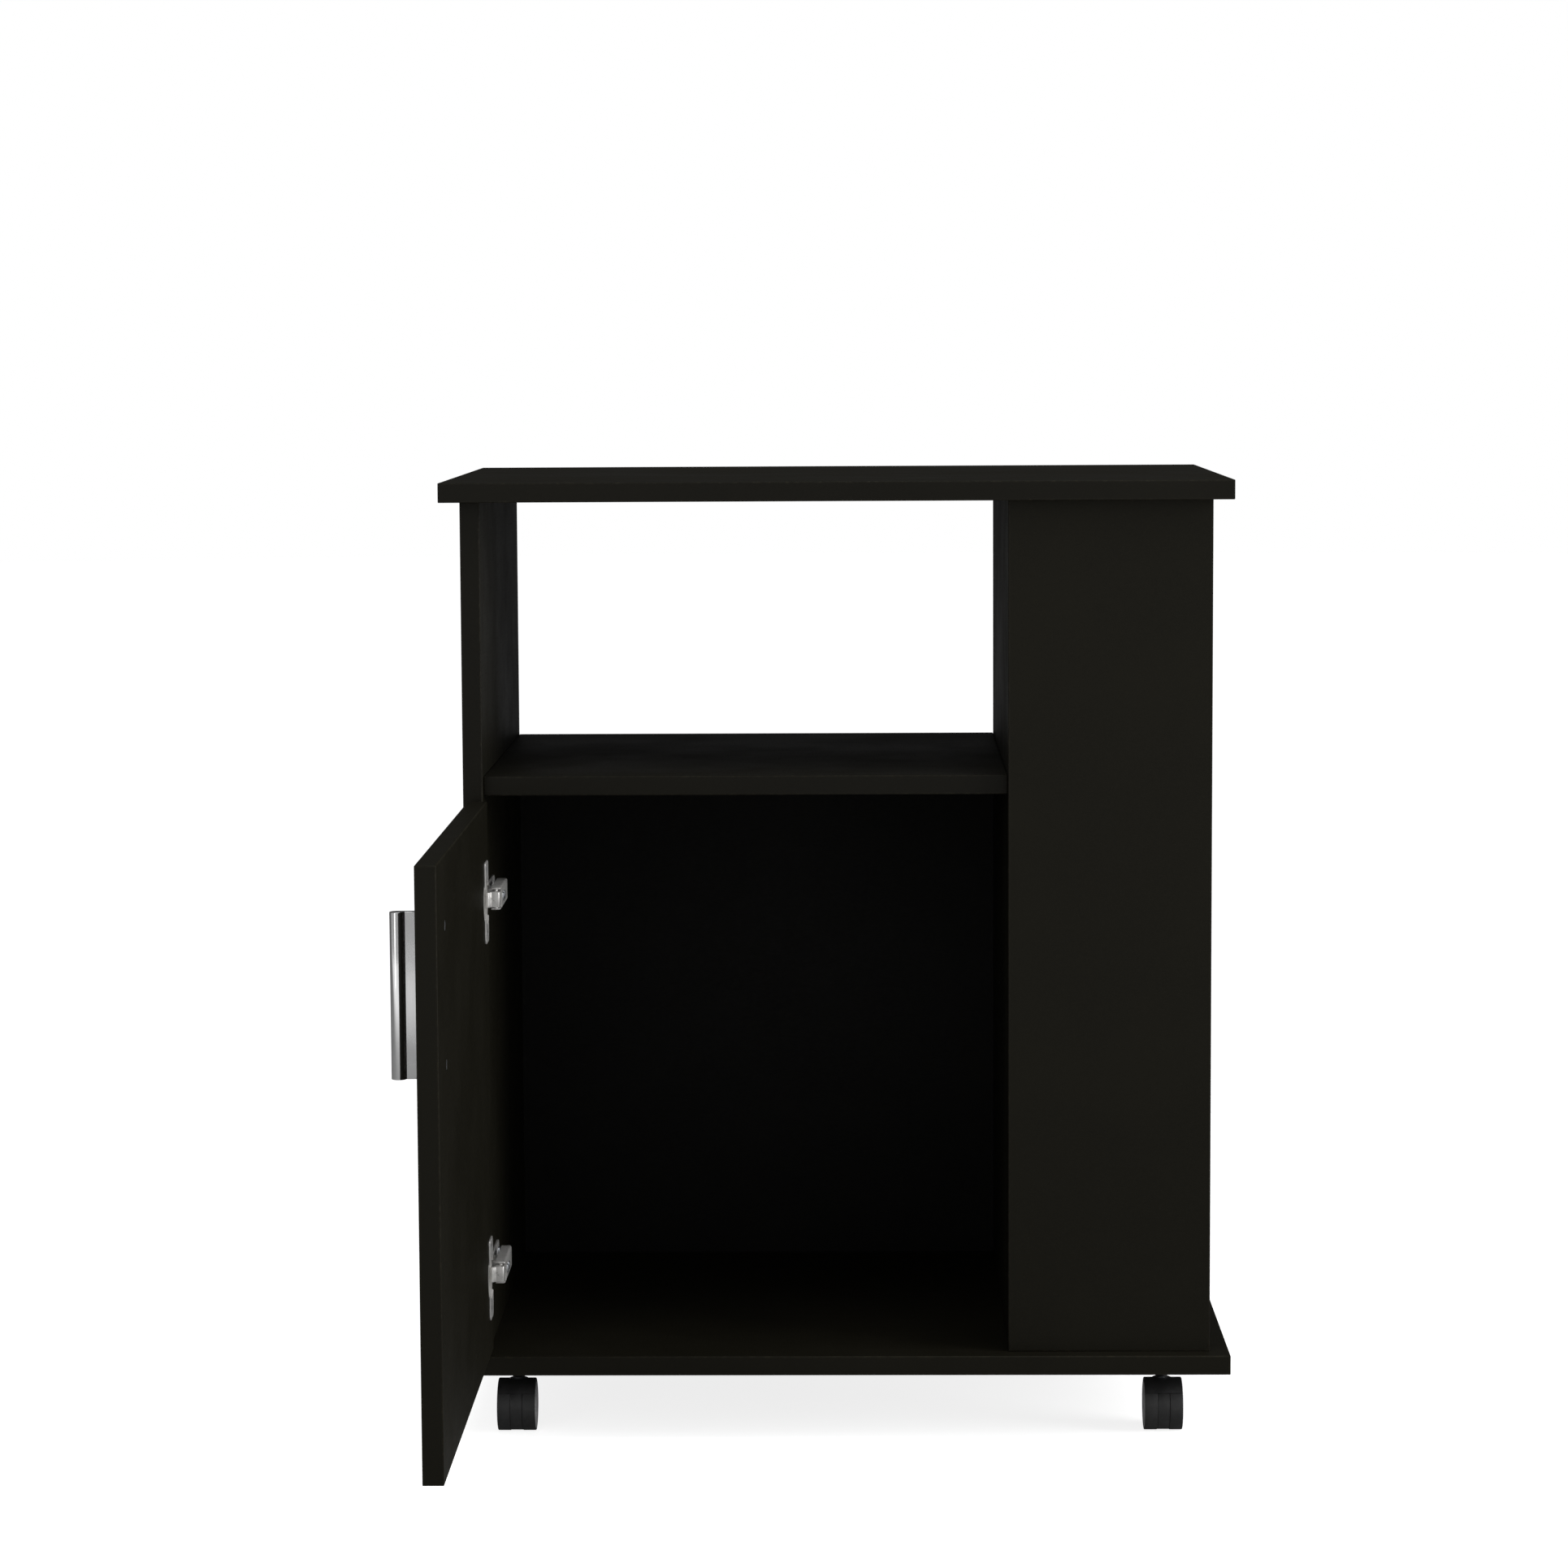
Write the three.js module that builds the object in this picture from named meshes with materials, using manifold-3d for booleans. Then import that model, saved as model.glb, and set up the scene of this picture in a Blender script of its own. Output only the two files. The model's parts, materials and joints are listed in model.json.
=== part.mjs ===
// Kitchen island cart on four twin-wheel casters, in millimetres, +Z up, front towards -Y.
// The carcass is drawn with X = 0 on its middle plane and Y = 0 on the front edge of the worktop;
// the whole group is then moved so that the origin lies under the middle of the bounding box.
// The door is drawn open at a right angle, pointing towards -Y.
import * as THREE from "three";
import { mergeVertices } from "three/addons/utils/BufferGeometryUtils.js";
import Module from "manifold-3d";

const wasm = await Module();
wasm.setup();

// ---- driving dimensions ----
const BOARD = 15;
const TOP_WIDTH = 600;
const TOP_DEPTH = 400;
const OVERHANG = 15;
const BASE_Z = 55;
const TOTAL_HEIGHT = 740;
const EDGE = 0.6;

const FRONT_Y = OVERHANG;
const BACK_Y = TOP_DEPTH - OVERHANG;
const LEFT_X = -TOP_WIDTH / 2 + OVERHANG;
const RIGHT_X = TOP_WIDTH / 2 - OVERHANG;
const DIVIDER_X = 130;
const FLOOR_Z = BASE_Z + BOARD;
const CEILING_Z = TOTAL_HEIGHT - BOARD;
const SHELF_Z = 500.5;
const SHELF_SETBACK = 10;
const BACK_SHEET = 3;
const SHEET_MARGIN = 3;
const SIDE_SHELVES = 3;
const SIDE_SHELF_SETBACK = 2;

const DOOR_WIDTH = 405;
const DOOR_BOTTOM = 74.5;
const DOOR_TOP = 498;
const DOOR_OUTER_X = -281;
const DOOR_HINGE_Y = 8;
const DOOR_INNER_X = DOOR_OUTER_X + BOARD;
const DOOR_FREE_Y = DOOR_HINGE_Y - DOOR_WIDTH;

const HINGE_Z = [423.9, 134.7];
const CUP_SETBACK = 22.5;
const CUP_RADIUS = 17.5;
const CUP_DEPTH = 11.3;
const CUP_WALL = 1;
const FLANGE_HEIGHT = 62;
const FLANGE_WIDTH = 24;
const FLANGE_THICK = 1.2;
const FLANGE_CORNER = 4;
const CUP_RISE = 0.2;
const CUP_SCREW_PITCH = 48;
const CUP_SCREW_RADIUS = 1.6;
const CUP_SCREW_HEAD = 3.1;
const CUP_Y = DOOR_HINGE_Y - CUP_SETBACK;

const ARM_X = [-263.7, -256];
const ARM_Y = [4.9, 66];
const ARM_HEIGHT = 17;
const ARM_WALL = 1.2;
const ARM_NOSE = 9;
const ARM_SCREW_RADIUS = 2.6;
const ARM_SCREW_Y = 33;
const LINK_PIN = [-260, 7];
const LINK_PIN_RADIUS = 1.5;
const LINK_EYE_RADIUS = 2.4;
const LINK_TIP_RADIUS = 1.1;
const LINK_HEIGHT = 11.6;
const LINK_FACE = [-4.2, 3.4, -8.2, -6.6];
const LINK_LENGTH = 14;
const LINK_ANGLE = -118;
const PLATE_Y = [20, 94];
const PLATE_THICK = 2;
const PLATE_HALF_HEIGHT = 8;
const RIB_LENGTH = 25;
const RIB_HALF_HEIGHT = 5.5;
const PLATE_SCREW_Y = [FRONT_Y + 37, FRONT_Y + 69];
const PLATE_SCREW_RADIUS = 2;
const SCREW_HOLE = 11;

const HANDLE_LENGTH = 115.5;
const HANDLE_Z = 402;
const HANDLE_Y = DOOR_FREE_Y + 56;
const HANDLE_REACH = 22.8;
const HANDLE_BAR = 10.5;
const HANDLE_WEB = 6;
const HANDLE_SCREW_Y = HANDLE_Y + (HANDLE_BAR - HANDLE_WEB) / 2;
const HANDLE_CHAMFER = 0.5;
const HANDLE_SCREW_PITCH = 96;
const HANDLE_SCREW_RADIUS = 1.9;
const HANDLE_SCREW_LENGTH = 24.5;
const HANDLE_SCREW_HEAD = 3.9;

const CASTER_X = 251.5;
const CASTER_STEM_Y = [66, 334];
const TRAIL = 14;
const WHEEL_RADIUS = 19.5;
const WHEEL_INNER = 4.8;
const WHEEL_OUTER = 15;
const AXLE_RADIUS = 2;
const AXLE_LENGTH = 26.6;
const WHEEL_BORE_DEPTH = 13.7;
const STEM_RADIUS = 3.5;
const STEM_BOTTOM_Z = 24.5;
const STEM_TOP_Z = BASE_Z + 9.8;
const SOCKET_RADIUS = 6.5;
const SOCKET_DEPTH = 12.5;
const COLLAR_RADIUS = 4.6;
const COLLAR_DROP = 2;
const HOOD_RISE = 1.7;
const HOOD_TOP = WHEEL_RADIUS * 2 + HOOD_RISE;
const HOOD_HALF_WIDTH = 14.6;
const HOOD_EDGE_Z = WHEEL_RADIUS + 13;
const WHEEL_CLEARANCE = 0.6;
const BOSS_RADIUS = 8;
const BOSS_HEIGHT = 24;
const WEB_RADIUS = 19.2;
const GAP = 0.3;
const ROUND = 28;

// ---- materials ----
function paint(color, roughness, metalness) {
  return new THREE.MeshStandardMaterial({ color, roughness, metalness });
}
const BLACK_BOARD = [0x1a1a18, 0.55, 0];
const BACK_BOARD = [0x0e0e0d, 0.8, 0];
const CHROME = [0xd8d8d8, 0.12, 1];
const NICKEL = [0xa8a8a8, 0.32, 1];
const ZINC = [0x8e9092, 0.4, 1];
const BLACK_PLASTIC = [0x1b1b1b, 0.5, 0];

// ---- helpers ----
// A named mesh with its own material.
function piece(name, geometry, look) {
  const mesh = new THREE.Mesh(geometry, paint(...look));
  mesh.name = name;
  return mesh;
}

// The same geometry as a manifold solid.
function solid(geometry) {
  const plain = geometry.index ? geometry.toNonIndexed() : geometry.clone();
  plain.deleteAttribute("normal");
  plain.deleteAttribute("uv");
  const merged = mergeVertices(plain, 1e-4);
  return new wasm.Manifold(
    new wasm.Mesh({
      numProp: 3,
      vertProperties: merged.attributes.position.array,
      triVerts: new Uint32Array(merged.index.array),
    }),
  );
}

// A manifold solid back as geometry.
function geometryOf(made) {
  const mesh = made.getMesh();
  const points = new THREE.BufferAttribute(mesh.vertProperties, 3);
  const index = new THREE.BufferAttribute(mesh.triVerts, 1);
  return new THREE.BufferGeometry().setAttribute("position", points).setIndex(index);
}

// The first geometry with the cutters taken away.
function cut(geometry, cutters) {
  let made = solid(geometry);
  for (const cutter of cutters) {
    made = made.subtract(solid(cutter));
  }
  return geometryOf(made);
}

// Several geometries joined into one body.
function join(geometries) {
  let made = solid(geometries[0]);
  for (const next of geometries.slice(1)) {
    made = made.add(solid(next));
  }
  return geometryOf(made);
}

// A block between two opposite corners.
function block(x0, x1, y0, y1, z0, z1) {
  const box = new THREE.BoxGeometry(x1 - x0, y1 - y0, z1 - z0);
  return box.translate((x0 + x1) / 2, (y0 + y1) / 2, (z0 + z1) / 2);
}

// A board between two opposite corners, its twelve edges broken by a small chamfer.
function board(x0, x1, y0, y1, z0, z1) {
  const dx = (x1 - x0) / 2;
  const dy = (y1 - y0) / 2;
  const dz = (z1 - z0) / 2;
  const corners = [
    [dx - EDGE, dy - EDGE, dz],
    [dx - EDGE, dy, dz - EDGE],
    [dx, dy - EDGE, dz - EDGE],
  ];
  const points = [];
  for (const [cx, cy, cz] of corners) {
    for (const sx of [-1, 1]) {
      for (const sy of [-1, 1]) {
        for (const sz of [-1, 1]) {
          points.push([sx * cx, sy * cy, sz * cz]);
        }
      }
    }
  }
  const shape = wasm.Manifold.hull(points);
  return geometryOf(shape).translate((x0 + x1) / 2, (y0 + y1) / 2, (z0 + z1) / 2);
}

// A round bar from one point along X, Y or Z.
function rod(axis, radius, length, x, y, z, segments = 20) {
  const bar = new THREE.CylinderGeometry(radius, radius, length, segments);
  bar.translate(0, length / 2, 0);
  if (axis === "x") {
    bar.rotateZ(-Math.PI / 2);
  }
  if (axis === "z") {
    bar.rotateX(Math.PI / 2);
  }
  return bar.translate(x, y, z);
}

// A turned piece about X from (radius, x) pairs that start and end on the axis.
function turnedX(profile, segments, x, y, z) {
  const points = profile.map(([r, h]) => new THREE.Vector2(r, h));
  const shape = new THREE.LatheGeometry(points, segments);
  shape.rotateZ(-Math.PI / 2);
  return shape.translate(x, y, z);
}

// A turned piece about Z from (radius, z) pairs that start and end on the axis.
function turnedZ(profile, segments, x, y, z) {
  const points = profile.map(([r, h]) => new THREE.Vector2(r, h));
  const shape = new THREE.LatheGeometry(points, segments);
  shape.rotateX(Math.PI / 2);
  return shape.translate(x, y, z);
}

// ---- carcass ----
function topPanel() {
  const half = TOP_WIDTH / 2;
  return piece(
    "top_panel",
    board(-half, half, 0, TOP_DEPTH, CEILING_Z, TOTAL_HEIGHT),
    BLACK_BOARD,
  );
}

function basePanel() {
  const half = TOP_WIDTH / 2;
  const sockets = casterPlaces().map(([x, y]) =>
    rod("z", SOCKET_RADIUS + GAP, SOCKET_DEPTH + 1, x, y, BASE_Z - 0.5),
  );
  return piece(
    "base_panel",
    cut(board(-half, half, 0, TOP_DEPTH, BASE_Z, FLOOR_Z), sockets),
    BLACK_BOARD,
  );
}

function leftSidePanel() {
  const pilots = [];
  for (const z of HINGE_Z) {
    for (const y of PLATE_SCREW_Y) {
      const hole = PLATE_SCREW_RADIUS + GAP;
      pilots.push(
        rod("x", hole, SCREW_HOLE, LEFT_X + BOARD + 0.5 - SCREW_HOLE, y, z, 12),
      );
    }
  }
  return piece(
    "left_side_panel",
    cut(board(LEFT_X, LEFT_X + BOARD, FRONT_Y, BACK_Y, FLOOR_Z, CEILING_Z), pilots),
    BLACK_BOARD,
  );
}

function dividerPanel() {
  return piece(
    "divider_panel",
    board(
      DIVIDER_X, DIVIDER_X + BOARD, FRONT_Y + BOARD, BACK_Y - BOARD, FLOOR_Z, CEILING_Z,
    ),
    BLACK_BOARD,
  );
}

function columnFrontPanel() {
  return piece(
    "column_front_panel",
    board(DIVIDER_X, RIGHT_X, FRONT_Y, FRONT_Y + BOARD, FLOOR_Z, CEILING_Z),
    BLACK_BOARD,
  );
}

function columnBackPanel() {
  return piece(
    "column_back_panel",
    board(DIVIDER_X, RIGHT_X, BACK_Y - BOARD, BACK_Y, FLOOR_Z, CEILING_Z),
    BLACK_BOARD,
  );
}

function mainShelf() {
  return piece(
    "main_shelf",
    board(
      LEFT_X + BOARD, DIVIDER_X, FRONT_Y + SHELF_SETBACK, BACK_Y, SHELF_Z, SHELF_Z + BOARD,
    ),
    BLACK_BOARD,
  );
}

function backPanel() {
  return piece(
    "back_panel",
    block(
      LEFT_X + SHEET_MARGIN, DIVIDER_X + BOARD - SHEET_MARGIN,
      BACK_Y, BACK_Y + BACK_SHEET, FLOOR_Z, SHELF_Z + BOARD - SHEET_MARGIN,
    ),
    BACK_BOARD,
  );
}

function sideShelf(index) {
  const bay = (CEILING_Z - FLOOR_Z - SIDE_SHELVES * BOARD) / (SIDE_SHELVES + 1);
  const bottom = FLOOR_Z + bay + index * (bay + BOARD);
  const names = ["side_shelf_lower", "side_shelf_middle", "side_shelf_upper"];
  return piece(
    names[index],
    board(
      DIVIDER_X + BOARD, RIGHT_X - SIDE_SHELF_SETBACK, FRONT_Y + BOARD, BACK_Y - BOARD,
      bottom, bottom + BOARD,
    ),
    BLACK_BOARD,
  );
}

// ---- door ----
function doorPanel() {
  const cutters = [];
  for (const z of HINGE_Z) {
    const pocket = CUP_DEPTH + GAP;
    cutters.push(
      rod("x", CUP_RADIUS + GAP, pocket + 1, DOOR_INNER_X - pocket, CUP_Y, z, 36),
    );
    for (const dz of [-CUP_SCREW_PITCH / 2, CUP_SCREW_PITCH / 2]) {
      const hole = CUP_SCREW_RADIUS + GAP;
      cutters.push(
        rod("x", hole, SCREW_HOLE, DOOR_INNER_X + 0.5 - SCREW_HOLE, CUP_Y, z + dz, 12),
      );
    }
  }
  const clearance = HANDLE_SCREW_RADIUS + 0.4;
  for (const dz of [-HANDLE_SCREW_PITCH / 2, HANDLE_SCREW_PITCH / 2]) {
    cutters.push(
      rod("x", clearance, BOARD + 2, DOOR_OUTER_X - 1, HANDLE_SCREW_Y, HANDLE_Z + dz, 16),
    );
    const sink = new THREE.CylinderGeometry(HANDLE_SCREW_HEAD + 0.9, clearance, 2.5, 16);
    sink.rotateZ(-Math.PI / 2);
    cutters.push(sink.translate(DOOR_INNER_X - 1.2, HANDLE_SCREW_Y, HANDLE_Z + dz));
  }
  return piece(
    "door_panel",
    cut(
      board(DOOR_OUTER_X, DOOR_INNER_X, DOOR_FREE_Y, DOOR_HINGE_Y, DOOR_BOTTOM, DOOR_TOP),
      cutters,
    ),
    BLACK_BOARD,
  );
}

// Bar handle: a round bar and a full-length web level with its back, drawn as one section.
function handle() {
  const r = HANDLE_BAR / 2;
  const centre = -(HANDLE_REACH - r);
  const webFront = r - HANDLE_WEB;
  const outline = new THREE.Shape();
  outline.moveTo(0, webFront);
  outline.lineTo(0, r);
  outline.absarc(centre, 0, r, Math.PI / 2, Math.PI * 2 + Math.asin(webFront / r), false);
  outline.closePath();
  const bar = new THREE.ExtrudeGeometry(outline, {
    depth: HANDLE_LENGTH - 2 * HANDLE_CHAMFER,
    curveSegments: ROUND,
    bevelEnabled: true,
    bevelSize: HANDLE_CHAMFER,
    bevelOffset: -HANDLE_CHAMFER,
    bevelThickness: HANDLE_CHAMFER,
    bevelSegments: 1,
  });
  bar.translate(
    DOOR_OUTER_X, HANDLE_Y, HANDLE_Z - HANDLE_LENGTH / 2 + HANDLE_CHAMFER,
  );
  const hole = HANDLE_SCREW_RADIUS + 0.4;
  const taps = [-HANDLE_SCREW_PITCH / 2, HANDLE_SCREW_PITCH / 2].map((dz) =>
    rod(
      "x", hole, SCREW_HOLE,
      DOOR_OUTER_X + 0.5 - SCREW_HOLE, HANDLE_SCREW_Y, HANDLE_Z + dz, 16,
    ),
  );
  return piece("handle", cut(bar, taps), CHROME);
}

// Countersunk screw from the inside of the door into the handle.
function handleScrew(name, dz) {
  const profile = [
    [0, 0], [HANDLE_SCREW_HEAD, 0], [HANDLE_SCREW_RADIUS, -2.1],
    [HANDLE_SCREW_RADIUS, -HANDLE_SCREW_LENGTH], [0, -HANDLE_SCREW_LENGTH],
  ].reverse();
  return piece(
    name,
    turnedX(profile, 14, DOOR_INNER_X - 0.2, HANDLE_SCREW_Y, HANDLE_Z + dz),
    ZINC,
  );
}

// Stamped cup with its flange, pressed into the door from the inside.
function hingeCup(name, z) {
  const flange = new THREE.Shape();
  const round = FLANGE_CORNER;
  const w = FLANGE_WIDTH / 2 - round;
  const h = FLANGE_HEIGHT / 2 - round;
  flange.moveTo(-w, -h - round);
  flange.lineTo(w, -h - round);
  flange.absarc(w, -h, round, -Math.PI / 2, 0, false);
  flange.absarc(w, h, round, 0, Math.PI / 2, false);
  flange.absarc(-w, h, round, Math.PI / 2, Math.PI, false);
  flange.absarc(-w, -h, round, Math.PI, Math.PI * 1.5, false);
  const sheet = new THREE.ExtrudeGeometry(flange, {
    depth: FLANGE_THICK,
    curveSegments: 5,
    bevelEnabled: false,
  });
  sheet.rotateX(Math.PI / 2);
  sheet.rotateZ(Math.PI / 2);
  sheet.translate(DOOR_INNER_X, CUP_Y, z);
  const cup = rod(
    "x", CUP_RADIUS, CUP_DEPTH + CUP_RISE, DOOR_INNER_X - CUP_DEPTH, CUP_Y, z, 36,
  );
  const hollow = rod(
    "x", CUP_RADIUS - CUP_WALL, CUP_DEPTH + 3,
    DOOR_INNER_X - CUP_DEPTH + CUP_WALL, CUP_Y, z, 36,
  );
  const holes = [-CUP_SCREW_PITCH / 2, CUP_SCREW_PITCH / 2].map((dz) =>
    rod("x", CUP_SCREW_HEAD + GAP, 4, DOOR_INNER_X - 1, CUP_Y, z + dz, 18),
  );
  return piece(name, cut(join([sheet, cup]), [hollow, ...holes]), NICKEL);
}

// Wood screw that holds the flange to the door, its head level with the flange.
function cupScrew(name, z) {
  const profile = [
    [0, 0], [CUP_SCREW_HEAD, -0.1], [CUP_SCREW_HEAD, -0.4],
    [CUP_SCREW_RADIUS, -1.1], [CUP_SCREW_RADIUS, -10], [0, -11],
  ].reverse();
  return piece(
    name,
    turnedX(profile, 14, DOOR_INNER_X + FLANGE_THICK, CUP_Y, z),
    ZINC,
  );
}

// ---- hinge parts on the side panel ----
// Folded channel, open towards the side panel; at its front end only the two cheeks go on.
function hingeArm(name, z) {
  const h = ARM_HEIGHT / 2;
  const shell = block(ARM_X[0], ARM_X[1], ARM_Y[0], ARM_Y[1], z - h, z + h);
  const inside = block(
    ARM_X[0] - 1, ARM_X[1] - ARM_WALL,
    ARM_Y[0] + ARM_NOSE, ARM_Y[1] - ARM_WALL, z - h + ARM_WALL, z + h - ARM_WALL,
  );
  const slot = block(
    ARM_X[0] - 1, ARM_X[1] + 1,
    ARM_Y[0] - 1, ARM_Y[0] + ARM_NOSE, z - h + ARM_WALL, z + h - ARM_WALL,
  );
  const bore = rod(
    "z", LINK_PIN_RADIUS + GAP, ARM_HEIGHT + 2, LINK_PIN[0], LINK_PIN[1], z - h - 1, 12,
  );
  const screw = rod("x", ARM_SCREW_RADIUS, 6, ARM_X[1] - 4, ARM_SCREW_Y, z, 14);
  return piece(name, cut(shell, [inside, slot, bore, screw]), NICKEL);
}

// Link with its pin: turns between the cheeks of the arm and reaches into the cup.
// Its folded face looks forward while the door is open.
function hingeLink(name, z) {
  const length = LINK_LENGTH - LINK_EYE_RADIUS;
  const half = LINK_HEIGHT / 2;
  const bar = block(0, length, -LINK_TIP_RADIUS, LINK_TIP_RADIUS, -half, half);
  const tip = rod("z", LINK_TIP_RADIUS, LINK_HEIGHT, length, 0, -half, 12);
  const eye = rod("z", LINK_EYE_RADIUS, LINK_HEIGHT, 0, 0, -half, 14);
  const pin = rod(
    "z", LINK_PIN_RADIUS, ARM_HEIGHT - 2 * GAP, 0, 0, -ARM_HEIGHT / 2 + GAP, 12,
  );
  const shape = join([bar, tip, eye, pin]);
  shape.rotateZ((LINK_ANGLE * Math.PI) / 180);
  const [faceLeft, faceRight, faceFront, faceBack] = LINK_FACE;
  const face = block(faceLeft, faceRight, faceFront, faceBack, -half, half);
  const side = block(
    faceRight - ARM_WALL, faceRight, faceBack - GAP, 0, -half, half,
  );
  const folded = join([shape, face, side]);
  folded.translate(LINK_PIN[0], LINK_PIN[1], z);
  return piece(name, folded, NICKEL);
}

// Straight mounting plate with a raised rib inside the arm and its two screws in line.
function hingePlate(name, z) {
  const face = LEFT_X + BOARD;
  const half = PLATE_HALF_HEIGHT;
  const foot = block(face, face + PLATE_THICK, PLATE_Y[0], PLATE_Y[1], z - half, z + half);
  const rib = block(
    face + 1, ARM_X[1] - 2, PLATE_Y[0] + 2, PLATE_Y[0] + RIB_LENGTH,
    z - RIB_HALF_HEIGHT, z + RIB_HALF_HEIGHT,
  );
  const holes = PLATE_SCREW_Y.map((y) =>
    rod("x", PLATE_SCREW_RADIUS + 0.5, 5, face - 1, y, z, 14),
  );
  return piece(name, cut(join([foot, rib]), holes), NICKEL);
}

// Wood screw that holds the plate to the side panel.
function plateScrew(name, y, z) {
  const profile = [
    [0, 2], [2.6, 1.8], [4, 0.4], [4, 0.2],
    [PLATE_SCREW_RADIUS, 0.2], [PLATE_SCREW_RADIUS, -10.4], [0, -12],
  ].reverse();
  return piece(
    name,
    turnedX(profile, 14, LEFT_X + BOARD + PLATE_THICK, y, z),
    ZINC,
  );
}

// ---- casters ----
// Where the four stems stand: front left, front right, rear left, rear right.
function casterPlaces() {
  const places = [];
  for (const y of CASTER_STEM_Y) {
    for (const x of [-CASTER_X, CASTER_X]) {
      places.push([x, y]);
    }
  }
  return places;
}

// Nylon sleeve let into the base, its collar under the board.
function casterSocket(name, x, y) {
  const sleeve = turnedZ(
    [[0, BASE_Z - COLLAR_DROP], [COLLAR_RADIUS - 1, BASE_Z - COLLAR_DROP],
      [COLLAR_RADIUS, BASE_Z - COLLAR_DROP + 0.7], [COLLAR_RADIUS, BASE_Z],
      [SOCKET_RADIUS, BASE_Z], [SOCKET_RADIUS, BASE_Z + SOCKET_DEPTH],
      [0, BASE_Z + SOCKET_DEPTH]],
    24, x, y, 0,
  );
  return piece(
    name,
    cut(sleeve, [rod("z", STEM_RADIUS + GAP, SOCKET_DEPTH + 1, x, y, BASE_Z - 3)]),
    BLACK_PLASTIC,
  );
}

// Steel stem that runs down into the caster body.
function casterStem(name, x, y) {
  const profile = [
    [0, STEM_BOTTOM_Z], [STEM_RADIUS - 0.8, STEM_BOTTOM_Z],
    [STEM_RADIUS, STEM_BOTTOM_Z + 0.8], [STEM_RADIUS, STEM_TOP_Z - 1.8],
    [STEM_RADIUS - 1, STEM_TOP_Z], [0, STEM_TOP_Z],
  ];
  return piece(name, turnedZ(profile, 20, x, y, 0), ZINC);
}

// Swivel body: a web between the wheels, a hood over it and the boss round the stem.
function casterBody(name, x, y) {
  const axleY = y - TRAIL;
  const web = WHEEL_INNER - GAP;
  const disc = rod("x", WEB_RADIUS, web * 2, x - web, axleY, WHEEL_RADIUS, 32);
  const boss = rod("z", BOSS_RADIUS, BOSS_HEIGHT, x, y, HOOD_TOP - BOSS_HEIGHT, 24);
  const tie = block(x - web, x + web, axleY, y + 6, WHEEL_RADIUS - 5, HOOD_TOP - 3);
  const half = HOOD_HALF_WIDTH;
  const crownRadius = WHEEL_RADIUS + HOOD_RISE;
  const crown = turnedX(
    [[0, -half], [crownRadius, -half], [crownRadius, half], [0, half]],
    40, x, axleY, WHEEL_RADIUS,
  );
  const below = block(x - 20, x + 20, axleY - 40, axleY + 40, -10, HOOD_EDGE_Z);
  const wellRadius = WHEEL_RADIUS + WHEEL_CLEARANCE;
  const wellWidth = half - web + 2;
  const wells = [
    rod("x", wellRadius, wellWidth, x - web - wellWidth, axleY, WHEEL_RADIUS, 40),
    rod("x", wellRadius, wellWidth, x + web, axleY, WHEEL_RADIUS, 40),
  ];
  const hood = solid(cut(crown, [below]));
  let made = solid(disc).add(solid(boss)).add(solid(tie)).add(hood);
  for (const well of wells) {
    made = made.subtract(solid(well));
  }
  const stemHole = rod("z", STEM_RADIUS + GAP, 30, x, y, STEM_BOTTOM_Z - GAP, 20);
  const axleHole = rod("x", AXLE_RADIUS + GAP, 20, x - 10, axleY, WHEEL_RADIUS, 16);
  made = made.subtract(solid(stemHole)).subtract(solid(axleHole));
  return piece(name, geometryOf(made), BLACK_PLASTIC);
}

function casterAxle(name, x, y) {
  return piece(
    name,
    rod("x", AXLE_RADIUS, AXLE_LENGTH, x - AXLE_LENGTH / 2, y - TRAIL, WHEEL_RADIUS, 16),
    ZINC,
  );
}

// One wheel: bore from the inside, a dished disc with a hub cap on the outside.
function casterWheel(name, x, y, side) {
  const rim = WHEEL_RADIUS / Math.cos(Math.PI / ROUND);
  const profile = [
    [0, WHEEL_BORE_DEPTH], [AXLE_RADIUS + GAP, WHEEL_BORE_DEPTH],
    [AXLE_RADIUS + GAP, WHEEL_INNER],
    [rim - 1, WHEEL_INNER], [rim, WHEEL_INNER + 1], [rim, WHEEL_OUTER - 1.4],
    [rim - 1.6, WHEEL_OUTER - 0.2], [rim - 4, WHEEL_OUTER - 0.6], [0, WHEEL_OUTER],
  ];
  const shape = turnedX(profile, ROUND, 0, 0, 0);
  shape.rotateX(Math.PI / ROUND);
  if (side < 0) {
    shape.rotateY(Math.PI);
  }
  shape.translate(x, y - TRAIL, WHEEL_RADIUS);
  return piece(name, shape, BLACK_PLASTIC);
}

function caster(corner, x, y) {
  const group = new THREE.Group();
  group.add(casterSocket(`caster_${corner}_socket`, x, y));
  group.add(casterStem(`caster_${corner}_stem`, x, y));
  group.add(casterBody(`caster_${corner}_body`, x, y));
  group.add(casterAxle(`caster_${corner}_axle`, x, y));
  group.add(casterWheel(`caster_${corner}_wheel_left`, x, y, -1));
  group.add(casterWheel(`caster_${corner}_wheel_right`, x, y, 1));
  return group;
}

// ---- assembly ----
function carcass() {
  const group = new THREE.Group();
  group.add(topPanel(), basePanel(), leftSidePanel(), dividerPanel());
  group.add(columnFrontPanel(), columnBackPanel(), mainShelf(), backPanel());
  for (let i = 0; i < SIDE_SHELVES; i += 1) {
    group.add(sideShelf(i));
  }
  return group;
}

function door() {
  const group = new THREE.Group();
  group.add(doorPanel(), handle());
  group.add(handleScrew("handle_screw_upper", HANDLE_SCREW_PITCH / 2));
  group.add(handleScrew("handle_screw_lower", -HANDLE_SCREW_PITCH / 2));
  return group;
}

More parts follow.
